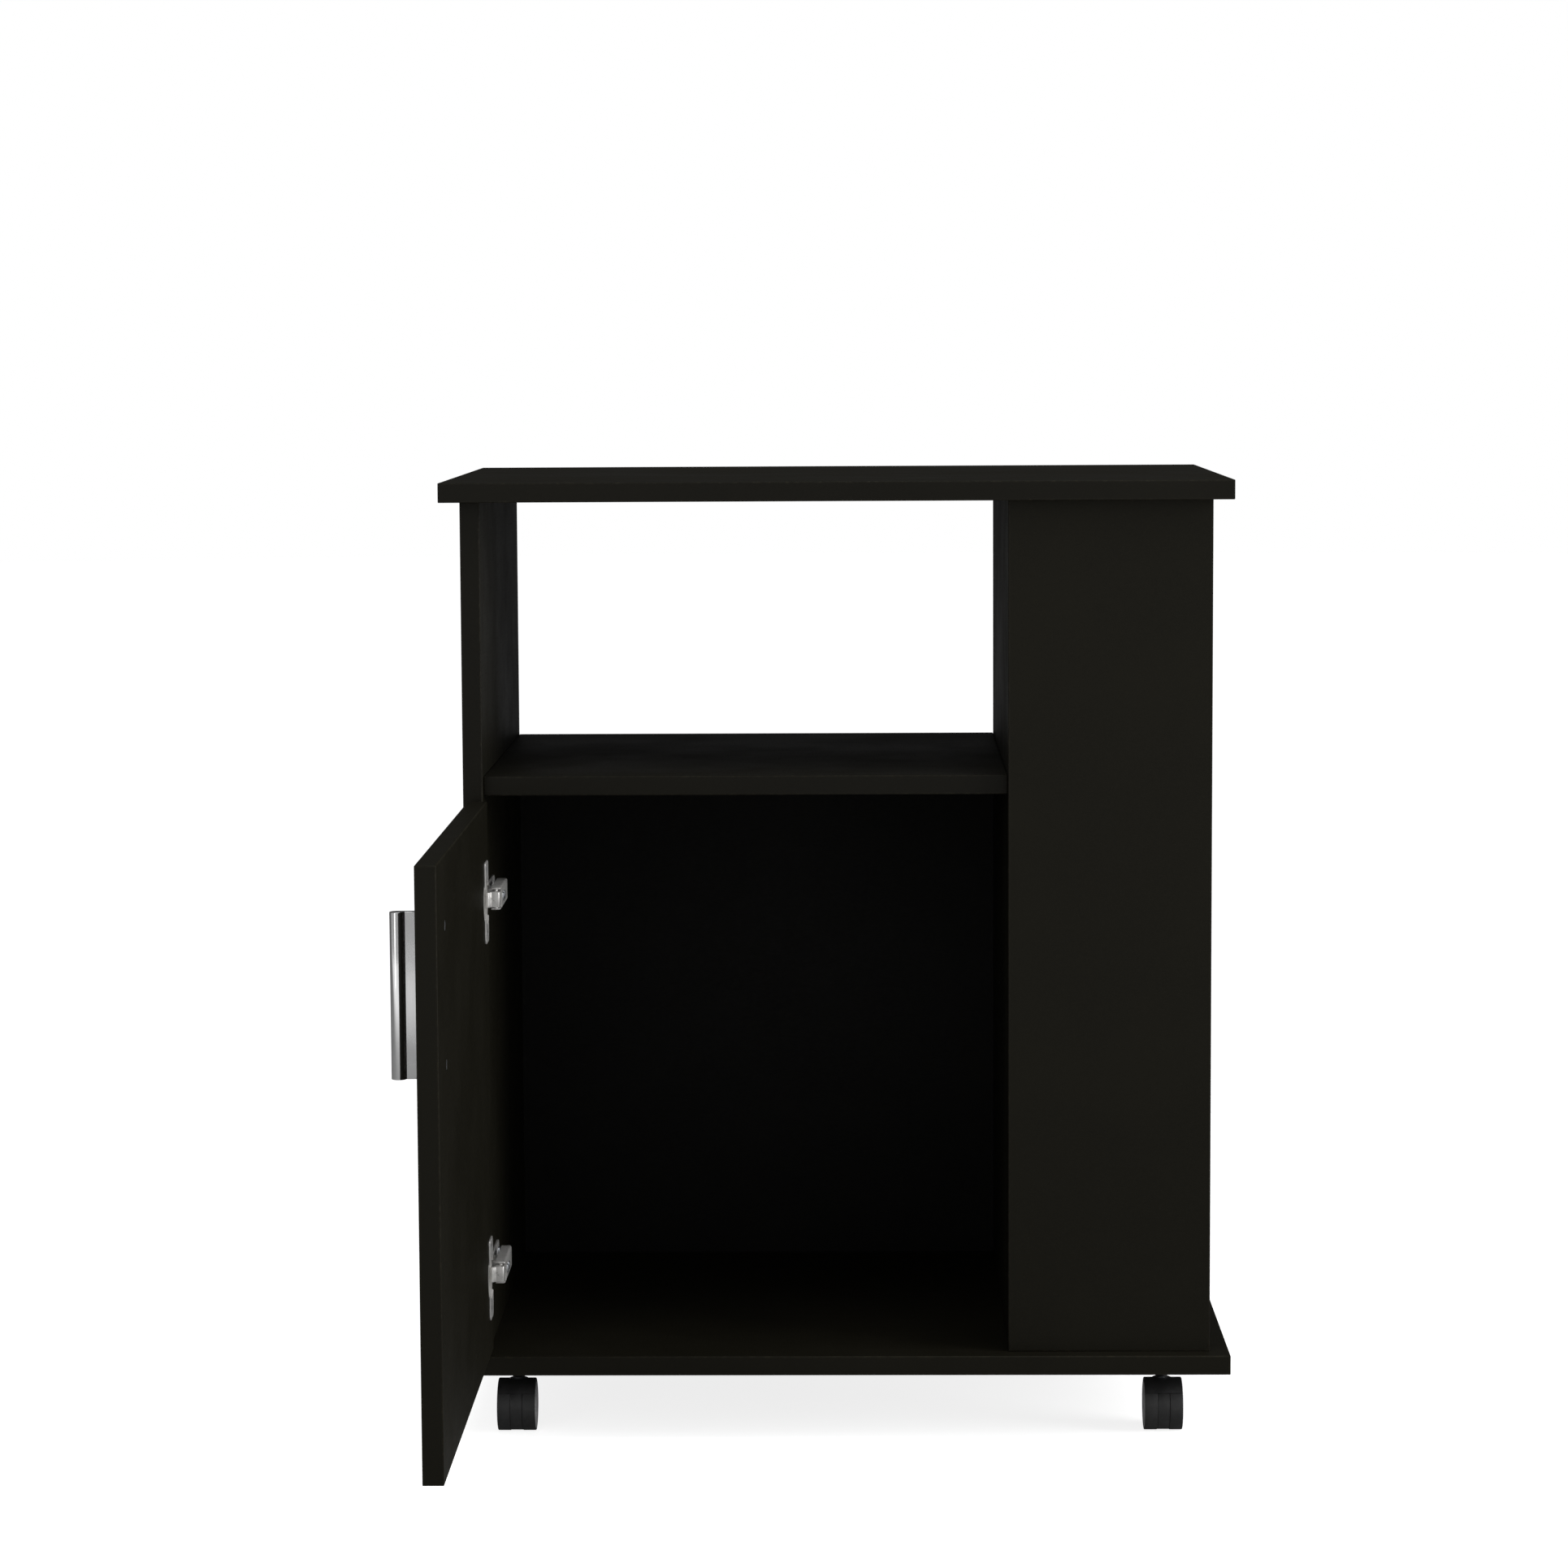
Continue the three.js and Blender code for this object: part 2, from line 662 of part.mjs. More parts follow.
function hinge(place, z) {
  const group = new THREE.Group();
  const half = CUP_SCREW_PITCH / 2;
  group.add(hingeCup(`hinge_${place}_cup`, z));
  group.add(cupScrew(`hinge_${place}_cup_screw_top`, z + half));
  group.add(cupScrew(`hinge_${place}_cup_screw_bottom`, z - half));
  group.add(hingeLink(`hinge_${place}_link`, z));
  group.add(hingeArm(`hinge_${place}_arm`, z));
  group.add(hingePlate(`hinge_${place}_plate`, z));
  group.add(plateScrew(`hinge_${place}_plate_screw_front`, PLATE_SCREW_Y[0], z));
  group.add(plateScrew(`hinge_${place}_plate_screw_rear`, PLATE_SCREW_Y[1], z));
  return group;
}

const cart = new THREE.Group();
cart.name = "kitchen_island_cart";
cart.add(carcass(), door());
cart.add(hinge("upper", HINGE_Z[0]), hinge("lower", HINGE_Z[1]));
["front_left", "front_right", "rear_left", "rear_right"].forEach((corner, i) => {
  const [x, y] = casterPlaces()[i];
  cart.add(caster(corner, x, y));
});

const minX = DOOR_OUTER_X - HANDLE_REACH;
const maxX = TOP_WIDTH / 2;
cart.position.set(-(minX + maxX) / 2, -(DOOR_FREE_Y + TOP_DEPTH) / 2, 0);

export default cart;
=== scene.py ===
"""Kitchen island cart: board carcass, hinged door, cup hinges and twin-wheel casters, in metres.

Laid out as an add-on and run as a script. The size of every board and fitting comes from its own
solid in the frame. The property groups hold the finer sizes and the colours that a user may change.
"""

import json
import math

import bmesh
import bpy
from mathutils import Matrix, Vector


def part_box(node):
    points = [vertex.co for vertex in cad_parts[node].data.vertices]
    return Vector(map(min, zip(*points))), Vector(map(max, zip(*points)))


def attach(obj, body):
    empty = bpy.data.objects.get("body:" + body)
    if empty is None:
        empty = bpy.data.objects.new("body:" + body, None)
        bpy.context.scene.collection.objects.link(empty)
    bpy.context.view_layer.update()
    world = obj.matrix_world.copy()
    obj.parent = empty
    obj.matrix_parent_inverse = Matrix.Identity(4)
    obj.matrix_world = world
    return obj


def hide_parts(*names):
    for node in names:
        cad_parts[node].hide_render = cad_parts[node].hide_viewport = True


bl_info = {
    "name": "Kitchen Island Cart",
    "version": (1, 0, 0),
    "blender": (4, 5, 0),
    "location": "View3D > Sidebar > Cart",
    "description": "Builds a board kitchen cart with a hinged door and casters in its frame",
    "category": "Object",
}

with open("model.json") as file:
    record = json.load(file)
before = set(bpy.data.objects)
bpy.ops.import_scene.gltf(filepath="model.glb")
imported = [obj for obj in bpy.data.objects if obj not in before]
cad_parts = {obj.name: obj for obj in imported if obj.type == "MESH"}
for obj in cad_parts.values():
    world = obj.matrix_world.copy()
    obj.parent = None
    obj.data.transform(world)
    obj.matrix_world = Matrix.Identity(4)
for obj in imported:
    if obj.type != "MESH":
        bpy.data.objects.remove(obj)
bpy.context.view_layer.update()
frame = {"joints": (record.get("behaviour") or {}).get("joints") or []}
MM = 0.001
BOX_SLACK = 0.3 * MM

FIXED_BOARDS = (
    "top_panel",
    "base_panel",
    "left_side_panel",
    "divider_panel",
    "column_front_panel",
    "column_back_panel",
    "main_shelf",
    "side_shelf_lower",
    "side_shelf_middle",
    "side_shelf_upper",
)
HINGES = ("hinge_upper", "hinge_lower")
CORNERS = ("front_left", "front_right", "rear_left", "rear_right")
ALONG_X = Matrix.Rotation(math.pi / 2, 4, "Y")
COLOUR = {"size": 3, "min": 0, "max": 1, "subtype": "COLOR"}

# Cutters pass this far beyond what they cut.
OVERCUT = 1 * MM
BAND_MARGIN = 1.4 * MM
SOCKET_HOLE_RADIUS = 6.8 * MM
SHEET_EDGE = 0.35 * MM
PIN_MARGIN = 6 * MM
PIN_HEAD = (
    (0, -1.5), (0.7, -1.5), (0.7, 0.05), (2.3, 0.05),
    (2.4, 0.2), (1.9, 0.5), (1.0, 0.65), (0, 0.7),
)

# Screws: head radius, head height, shank radius, length.
HANDLE_SCREW = (3.9 * MM, 2.1 * MM, 1.9 * MM, 24.3 * MM)
CUP_SCREW = (3.15 * MM, 1.2 * MM, 1.6 * MM, 10.8 * MM)
ARM_SCREW = (3.4 * MM, 1.4 * MM, 1.9 * MM, 6 * MM)
PLATE_SCREW = (3.9 * MM, 1.9 * MM, 1.9 * MM, 11.6 * MM)
RECESS_DEPTH = 1.3 * MM
RECESS_HALF_WIDTH = 0.42 * MM
HANDLE_HOLE_RADIUS = 2.3 * MM
SCREW_SINK = ((0, -2.6), (2.2, -2.6), (4.6, 0.4), (0, 0.4))

HANDLE_FILLET = 0.3 * MM
HANDLE_RIM = 0.45 * MM

CUP_FIT = 0.2 * MM
CUP_WALL = 1 * MM
CUP_BEND = 2.2 * MM
FLANGE_HALF_WIDTH = 12 * MM
FLANGE_CORNER = 4 * MM
CUP_SCREW_REACH = 24 * MM
CUP_SCREW_HOLE = 3.3 * MM

LINK_HALF_HEIGHT = 5.8 * MM
LINK_EYE = 2.3 * MM
LINK_TIP = 1.1 * MM
LINK_SHEET = 1.4 * MM
LINK_BEND = 1.3 * MM
LINK_FACE = (-4.2 * MM, 3.4 * MM, -8.2 * MM)

ARM_WALL = 1.2 * MM
ARM_BEND = 1.8 * MM
ARM_NOSE = 9 * MM
ARM_SCREWS = (17 * MM, 28.1 * MM)

PLATE_THICK = 2 * MM
RIB_HALF_HEIGHT = 5.5 * MM
RIB_LENGTH = 25 * MM
PLATE_HOLE = 2.4 * MM

STEM_HOLE = 3.75 * MM
COLLAR_RING = 4.55 * MM
GROOVE_DEPTH = 0.45 * MM
STEM_IN_BODY = 3.7 * MM
AXLE_HOLE = 2.15 * MM
WHEEL_GAP = 0.15 * MM
WELL_GAP = 0.5 * MM
HOOD_GAP = 0.55 * MM
HOOD_SHOULDER = 0.8 * MM
HOOD_ARC = (38, 142, 40)

# Lights: name, place, target, size, watts.
LIGHTS = (
    ("soft_overhead", (0.1, -0.6, 3.2), (0, 0, 0.2), (2.6, 1.8), 24),
    ("soft_front_left", (-2.0, -3.4, 1.0), (-0.2, -0.2, 0.4), (0.9, 2.6), 10),
    ("soft_right", (3.0, -0.9, 1.2), (-0.2, -0.2, 0.3), (1.4, 2.0), 60),
)
CAMERA_PLACE = (0.01736, -3.28125, 0.84594)
CAMERA_TURN = (84.178, 0.297, 0.940)


# ---- settings ----
class CartSizes(bpy.types.PropertyGroup):
    """The finer sizes of the cart's pieces."""

    edge_radius: bpy.props.FloatProperty(
        name="Edge radius",
        description="Rounding of the edge banding on every board",
        default=0.6 * MM,
        min=0.2 * MM,
        max=3 * MM,
        subtype="DISTANCE",
    )
    joint_gap: bpy.props.FloatProperty(
        name="Joint gap",
        description="How far each board stays back from its own solid, for a fine line at a joint",
        default=0.06 * MM,
        min=0,
        max=0.4 * MM,
        subtype="DISTANCE",
    )
    pin_spacing: bpy.props.FloatProperty(
        name="Panel pin spacing",
        description="Distance between the pins that hold the back sheet",
        default=70 * MM,
        min=30 * MM,
        max=200 * MM,
        subtype="DISTANCE",
    )
    round_steps: bpy.props.IntProperty(
        name="Round steps",
        description="Faces round the turned pieces",
        default=72,
        min=24,
        max=160,
    )


class CartColours(bpy.types.PropertyGroup):
    """The colours of the cart's finishes."""

    board: bpy.props.FloatVectorProperty(
        name="Board",
        description="Matt black melamine on the faces of the boards",
        default=(0.0094, 0.0085, 0.0052),
        **COLOUR,
    )
    band: bpy.props.FloatVectorProperty(
        name="Edge band",
        description="Plastic banding on the edges of the boards",
        default=(0.0086, 0.0078, 0.0052),
        **COLOUR,
    )
    hardboard: bpy.props.FloatVectorProperty(
        name="Hardboard",
        description="Lacquered sheet behind the lower compartment",
        default=(0.0050, 0.0048, 0.0043),
        **COLOUR,
    )
    chrome: bpy.props.FloatVectorProperty(
        name="Chrome",
        description="Polished plating of the handle",
        default=(0.86, 0.86, 0.86),
        **COLOUR,
    )
    nickel: bpy.props.FloatVectorProperty(
        name="Nickel",
        description="Plated pressed steel of the hinges",
        default=(0.74, 0.73, 0.71),
        **COLOUR,
    )
    zinc: bpy.props.FloatVectorProperty(
        name="Zinc",
        description="Plated screws, stems and axles",
        default=(0.52, 0.54, 0.57),
        **COLOUR,
    )
    nylon: bpy.props.FloatVectorProperty(
        name="Nylon",
        description="Moulded black plastic of the casters",
        default=(0.0340, 0.0340, 0.0343),
        **COLOUR,
    )
    disc: bpy.props.FloatVectorProperty(
        name="Wheel disc",
        description="Moulded grey plastic in the sides of the wheels",
        default=(0.50, 0.50, 0.505),
        **COLOUR,
    )
    floor: bpy.props.FloatVectorProperty(
        name="Floor",
        description="Plain pale floor of the stage",
        default=(0.86, 0.86, 0.86),
        **COLOUR,
    )


# ---- finishes: node helpers ----
def add(tree, kind, **values):
    """A new shader node with these sockets set. An underscore stands for a space."""
    node = tree.nodes.new("ShaderNode" + kind)
    for name, value in values.items():
        node.inputs[name.replace("_", " ")].default_value = value
    return node


class Finish:
    """A node material under construction, in object coordinates, which are metres here."""

    def __init__(self, name):
        self.material = bpy.data.materials.new(name)
        self.material.use_nodes = True
        self.tree = self.material.node_tree
        self.shader = self.tree.nodes["Principled BSDF"]
        self.where = add(self.tree, "TexCoord").outputs["Object"]

    def link(self, value, socket):
        self.tree.links.new(value, socket)

    def stretched(self, scale):
        """Object coordinates with each axis scaled."""
        mapping = add(self.tree, "Mapping", Scale=scale)
        self.link(self.where, mapping.inputs["Vector"])
        return mapping.outputs["Vector"]

    def noise(self, scale, detail=2.0, roughness=0.55, vector=None):
        """Fractal noise with features of about 1/scale metres."""
        texture = add(self.tree, "TexNoise", Scale=scale, Detail=detail, Roughness=roughness)
        self.link(vector or self.where, texture.inputs["Vector"])
        return texture.outputs["Fac"]

    def cells(self, scale):
        """Distance to the nearest point of a cell pattern."""
        texture = add(self.tree, "TexVoronoi", Scale=scale)
        self.link(self.where, texture.inputs["Vector"])
        return texture.outputs["Distance"]

    def ranged(self, value, low, high, to_low, to_high, smooth=False):
        """The value mapped from one range to another, held at the ends."""
        box = add(
            self.tree, "MapRange", From_Min=low, From_Max=high, To_Min=to_low, To_Max=to_high
        )
        if smooth:
            box.interpolation_type = "SMOOTHSTEP"
        self.link(value, box.inputs["Value"])
        return box.outputs["Result"]

    def maths(self, kind, first, second):
        """Two values put together."""
        box = add(self.tree, "Math")
        box.operation = kind
        self.link(first, box.inputs[0])
        self.link(second, box.inputs[1])
        return box.outputs["Value"]

    def between(self, factor, first, second):
        """A colour between two others. Each is a colour or another node's output."""
        mix = add(self.tree, "Mix")
        mix.data_type = "RGBA"
        self.link(factor, mix.inputs["Factor"])
        for socket, given in ((mix.inputs[6], first), (mix.inputs[7], second)):
            if isinstance(given, bpy.types.NodeSocket):
                self.link(given, socket)
            else:
                socket.default_value = (*given, 1)
        return mix.outputs[2]

    def edge(self):
        """The mesh's own measure of how near a point lies to a worn edge."""
        attribute = add(self.tree, "Attribute")
        attribute.attribute_name = "edge"
        return attribute.outputs["Fac"]

    def colour(self, value):
        self.link(value, self.shader.inputs["Base Color"])

    def roughness(self, value):
        self.link(value, self.shader.inputs["Roughness"])

    def raised(self, height, strength, distance):
        """A bump, stacked on the one before."""
        bump = add(self.tree, "Bump", Strength=strength, Distance=distance)
        self.link(height, bump.inputs["Height"])
        before = self.shader.inputs["Normal"]
        if before.is_linked:
            self.link(before.links[0].from_socket, bump.inputs["Normal"])
        self.link(bump.outputs["Normal"], before)

    def socket(self, name, value):
        self.shader.inputs[name].default_value = value


def scaled(colour, times):
    """A colour made lighter or darker."""
    return tuple(min(1.0, channel * times) for channel in colour)


def board_finish(name, colour, low_rough, high_rough, fleck):
    """Melamine paper under resin: a pearl-fine bump, faint clouds and slightly rubbed edges."""
    finish = Finish(name)
    clouds = finish.noise(9, 3, 0.6)
    flecks = finish.noise(1300, 2, 0.6)
    shade = finish.between(
        finish.ranged(flecks, 0.35, 0.72, 0, 1),
        scaled(colour, 0.88),
        scaled(colour, fleck),
    )
    handled = finish.between(
        finish.ranged(clouds, 0.38, 0.66, 0, 0.35, True), shade, scaled(colour, 1.35)
    )
    scuffs = finish.noise(260, 4, 0.7)
    rub = finish.maths(
        "MULTIPLY", finish.edge(), finish.ranged(scuffs, 0.46, 0.7, 0.12, 0.8, True)
    )
    finish.colour(finish.between(rub, handled, scaled(colour, 2.6)))
    hairlines = finish.noise(1, 3, 0.7, finish.stretched((900, 40, 900)))
    shine = finish.maths(
        "ADD",
        finish.ranged(clouds, 0.35, 0.68, low_rough, high_rough),
        finish.ranged(hairlines, 0.5, 0.8, 0, 0.06),
    )
    finish.roughness(shine)
    finish.raised(finish.noise(1500, 3, 0.65), 0.28, 0.05 * MM)
    finish.raised(finish.noise(14, 2, 0.5), 0.10, 0.25 * MM)
    finish.socket("Specular IOR Level", 0.11)
    return finish.material


def hardboard_finish(name, colour):
    """Lacquered hardboard with a fibrous, slightly uneven skin."""
    finish = Finish(name)
    fibres = finish.noise(1, 5, 0.7, finish.stretched((260, 260, 900)))
    blotches = finish.noise(22, 3, 0.6)
    finish.colour(
        finish.between(
            finish.maths("MULTIPLY", fibres, blotches), colour, scaled(colour, 3.2)
        )
    )
    finish.roughness(finish.ranged(fibres, 0.3, 0.7, 0.62, 0.82))
    finish.raised(fibres, 0.4, 0.12 * MM)
    finish.socket("Specular IOR Level", 0.25)
    return finish.material


def chrome_finish(name, colour, low_rough, high_rough):
    """Bright plating with drawn hairlines along the bar and faint finger haze."""
    finish = Finish(name)
    drawn = finish.noise(1, 3, 0.6, finish.stretched((2600, 2600, 24)))
    haze = finish.noise(45, 3, 0.6)
    finish.colour(
        finish.between(
            finish.ranged(haze, 0.4, 0.7, 0, 1, True), colour, scaled(colour, 0.93)
        )
    )
    finish.roughness(
        finish.maths(
            "ADD",
            finish.ranged(haze, 0.4, 0.72, low_rough, high_rough, True),
            finish.ranged(drawn, 0.4, 0.7, 0, 0.03),
        )
    )
    finish.raised(drawn, 0.12, 0.01 * MM)
    finish.socket("Metallic", 1.0)
    return finish.material


def plated_finish(name, colour, low_rough, high_rough, grain, metal=1.0):
    """Plated steel: rolling grain, small pits and uneven brightness."""
    finish = Finish(name)
    rolled = finish.noise(1, 4, 0.65, finish.stretched((grain, grain * 0.12, grain)))
    pits = finish.cells(1100)
    patches = finish.noise(150, 3, 0.6)
    finish.colour(
        finish.between(
            finish.ranged(patches, 0.36, 0.68, 0, 1, True),
            scaled(colour, 0.88),
            scaled(colour, 1.05),
        )
    )
    finish.roughness(
        finish.maths(
            "ADD",
            finish.ranged(patches, 0.35, 0.7, low_rough, high_rough),
            finish.ranged(rolled, 0.4, 0.7, 0, 0.08),
        )
    )
    finish.raised(rolled, 0.14, 0.01 * MM)
    finish.raised(finish.ranged(pits, 0.0, 0.25, 0, 1), 0.05, 0.01 * MM)
    finish.socket("Metallic", metal)
    return finish.material


def moulded_finish(name, colour, low_rough, high_rough, dust):
    """Moulded plastic: spark-eroded texture, flow clouds and a little dust."""
    finish = Finish(name)
    texture = finish.noise(2200, 2, 0.5)
    clouds = finish.noise(70, 3, 0.6)
    grime = finish.noise(320, 4, 0.7)
    flow = finish.between(
        finish.ranged(clouds, 0.38, 0.66, 0, 1, True),
        scaled(colour, 0.85),
        scaled(colour, 1.2),
    )
    finish.colour(
        finish.between(
            finish.ranged(grime, 0.52, 0.8, 0, dust, True), flow, (0.16, 0.15, 0.14)
        )
    )
    finish.roughness(finish.ranged(clouds, 0.35, 0.7, low_rough, high_rough))
    finish.raised(texture, 0.35, 0.04 * MM)
    finish.socket("Specular IOR Level", 0.4)
    return finish.material


# Each finish: its maker, the colour setting that it takes, and the maker's other values.
FINISHES = {
    "board": (board_finish, "board", 0.46, 0.60, 1.25),
    "band": (board_finish, "band", 0.40, 0.54, 1.12),
    "hardboard": (hardboard_finish, "hardboard"),
    "chrome": (chrome_finish, "chrome", 0.07, 0.14),
    "satin": (chrome_finish, "chrome", 0.24, 0.32),
    "nickel": (plated_finish, "nickel", 0.26, 0.38, 1400, 0.6),
    "zinc": (plated_finish, "zinc", 0.26, 0.42, 1800),
    "nylon": (moulded_finish, "nylon", 0.36, 0.50, 0.06),
    "tread": (moulded_finish, "nylon", 0.46, 0.62, 0.10),
    "disc": (moulded_finish, "disc", 0.34, 0.46, 0.04),
}


def finish_of(key):
    """A finish by its name, made the first time that a piece asks for it."""
    name = "cart_" + key
    if name in bpy.data.materials:
        return bpy.data.materials[name]
    maker, tone, *rest = FINISHES[key]
    return maker(name, getattr(bpy.context.scene.cart_colours, tone), *rest)


# ---- mesh helpers ----
def mesh_of(work, name, smooth_angle=35):
    """The finished mesh of a bmesh, smooth where its faces meet gently."""
    bmesh.ops.recalc_face_normals(work, faces=work.faces)
    mesh = bpy.data.meshes.new(name)
    work.to_mesh(mesh)
    work.free()
    mesh.shade_smooth()
    mesh.set_sharp_from_angle(angle=math.radians(smooth_angle))
    return mesh


def fitted(name, mesh, finishes, body, slot, *nodes, place=None):
    """A new piece: its finishes, the body it rides on and the solids it stands for.

    A piece that reaches outside its solids' box was made wrong, so that stops the script.
    """
    piece = bpy.data.objects.new(name, mesh)
    bpy.context.scene.collection.objects.link(piece)
    if place is not None:
        piece.matrix_world = place
    if not mesh.materials:
        for key in finishes:
            mesh.materials.append(finish_of(key))
    boxes = [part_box(node) for node in nodes]
    points = [piece.matrix_world @ vertex.co for vertex in mesh.vertices]
    for i in range(3 if boxes else 0):
        least = min(point[i] for point in points) - min(low[i] for low, high in boxes)
        most = max(point[i] for point in points) - max(high[i] for low, high in boxes)
        if least < -BOX_SLACK or most > BOX_SLACK:
            raise RuntimeError(f"{name} reaches {least:.5f}, {most:.5f} out of {nodes}")
    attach(piece, body)
    if nodes:
        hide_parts(*nodes)


def board_work(low, high, radius):
    """A board with rounded edges, a narrow margin on each face and its edge attribute."""
    work = bmesh.new()
    bmesh.ops.create_cube(work, size=1)
    middle = (low + high) / 2
    extent = high - low
    for vertex in work.verts:
        vertex.co = middle + Vector(a * b for a, b in zip(vertex.co, extent))
    bmesh.ops.bevel(
        work, geom=work.edges[:], offset=radius, segments=3, profile=0.5, affect="EDGES"
    )
    flats = sorted(work.faces, key=lambda face: face.calc_area())[-6:]
    bmesh.ops.inset_individual(work, faces=flats, thickness=BAND_MARGIN)
    near = radius * 1.02
    edge = work.verts.layers.float.new("edge")
    for vertex in work.verts:
        sides = sum(
            vertex.co[i] - low[i] < near or high[i] - vertex.co[i] < near
            for i in range(3)
        )
        vertex[edge] = 1.0 if sides > 1 else 0.0
    thin = min(range(3), key=lambda i: extent[i])
    for face in work.faces:
        face.material_index = 0 if abs(face.normal[thin]) > 0.999 else 1
    return work


def board_mesh(name, node):
    """A fine board in the place of a solid."""
    sizes = bpy.context.scene.cart_sizes
    low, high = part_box(node)
    back = Vector((sizes.joint_gap,) * 3)
    return mesh_of(board_work(low + back, high - back, sizes.edge_radius), name)


def turned(name, profile, steps, axis="Z", zones=None):
    """A turned mesh from (radius, height) points. Zones give each stretch its material."""
    work = bmesh.new()
    rings = []
    for radius, height in profile:
        if radius < 1e-7:
            rings.append([work.verts.new((0, 0, height))])
            continue
        ring = []
        for i in range(steps):
            angle = 2 * math.pi * i / steps
            ring.append(
                work.verts.new((radius * math.cos(angle), radius * math.sin(angle), height))
            )
        rings.append(ring)
    for k, (first, second) in enumerate(zip(rings, rings[1:])):
        for i in range(steps):
            j = (i + 1) % steps
            corners = [first[i % len(first)], first[j % len(first)]]
            corners += [second[j % len(second)], second[i % len(second)]]
            unique = list(dict.fromkeys(corners))
            if len(unique) > 2:
                work.faces.new(unique).material_index = zones[k] if zones else 0
    if axis == "X":
        bmesh.ops.transform(work, matrix=ALONG_X, verts=work.verts)
    return mesh_of(work, name)


def arc(cx, cy, radius, start, end, steps):
    """Points of an arc, in degrees, both ends included."""
    points = []
    for i in range(steps + 1):
        angle = math.radians(start + (end - start) * i / steps)
        points.append((cx + radius * math.cos(angle), cy + radius * math.sin(angle)))
    return points


def rounded_outline(half_w, half_h, radius, steps=6):
    """A rectangle with round corners about the origin."""
    points = []
    for sx, sy, start in ((1, 1, 0), (-1, 1, 90), (-1, -1, 180), (1, -1, 270)):
        cx, cy = sx * (half_w - radius), sy * (half_h - radius)
        points += arc(cx, cy, radius, start, start + 90, steps)
    return points


def extruded(name, outline, low, high, bevel, steps=2):
    """A flat outline pulled along +Z, its two end rims rounded."""
    work = bmesh.new()
    bottom = work.faces.new([work.verts.new((x, y, low)) for x, y in outline])
    grown = bmesh.ops.extrude_face_region(work, geom=[bottom])["geom"]
    top = [g for g in grown if isinstance(g, bmesh.types.BMVert)]
    bmesh.ops.translate(work, verts=top, vec=(0, 0, high - low))
    if bevel:
        rims = [
            e for e in work.edges if abs(e.verts[0].co.z - e.verts[1].co.z) < 1e-9
        ]
        bmesh.ops.bevel(
            work, geom=rims, offset=bevel, segments=steps, profile=0.5, affect="EDGES"
        )
    return mesh_of(work, name)


def rounded_block(name, low, high, radius, steps=2):
    """A block with all its edges rounded."""
    work = bmesh.new()
    bmesh.ops.create_cube(work, size=1)
    for vertex in work.verts:
        vertex.co = Vector(
            low[i] if vertex.co[i] < 0 else high[i] for i in range(3)
        )
    bmesh.ops.bevel(
        work, geom=work.edges[:], offset=radius, segments=steps, profile=0.5, affect="EDGES"
    )
    return mesh_of(work, name)


def moved(mesh, matrix):
    """A mesh put in place for good."""
    mesh.transform(matrix)
    mesh.update()
    return mesh


def combined(name, base, others, smooth_angle=35):
    """A mesh joined with, or cut by, others: pairs of an operation and a mesh."""
    scene = bpy.context.scene
    target = bpy.data.objects.new(name, base)
    scene.collection.objects.link(target)
    helpers = []
    for operation, mesh in others:
        helper = bpy.data.objects.new(name + "_helper", mesh)
        scene.collection.objects.link(helper)
        helpers.append(helper)
        boolean = target.modifiers.new("boolean", "BOOLEAN")
        boolean.operation = operation
        boolean.solver = "EXACT"
        boolean.object = helper
    bpy.context.view_layer.update()
    graph = bpy.context.evaluated_depsgraph_get()
    result = bpy.data.meshes.new_from_object(target.evaluated_get(graph))
    result.name = name
    for helper in helpers:
        bpy.data.objects.remove(helper)
    bpy.data.objects.remove(target)
    result.materials.clear()
    result.shade_smooth()
    result.set_sharp_from_angle(angle=math.radians(smooth_angle))
    if len(result.polygons) < 4:
        raise RuntimeError(name + ": its boolean left nothing")
    return result


def rod(name, axis, radius, start, length, steps=48):
    """A plain round cutter from a point along X, Y or Z."""
    mesh = turned(name, [(0, 0), (radius, 0), (radius, length), (0, length)], steps)
    turn = Matrix.Identity(4)
    if axis == "X":
        turn = ALONG_X
    if axis == "Y":
        turn = Matrix.Rotation(-math.pi / 2, 4, "X")
    return moved(mesh, Matrix.Translation(start) @ turn)


def hole(axis, radius, start, length, steps=48):
    """A round cut for combined()."""
    return "DIFFERENCE", rod("hole", axis, radius, start, length, steps)


def in_mm(points):
    """Points given in millimetres, in metres."""
    return [(x * MM, y * MM) for x, y in points]


def middle_of(node):
    """The middle of a solid's box."""
    low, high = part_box(node)
    return (low + high) / 2


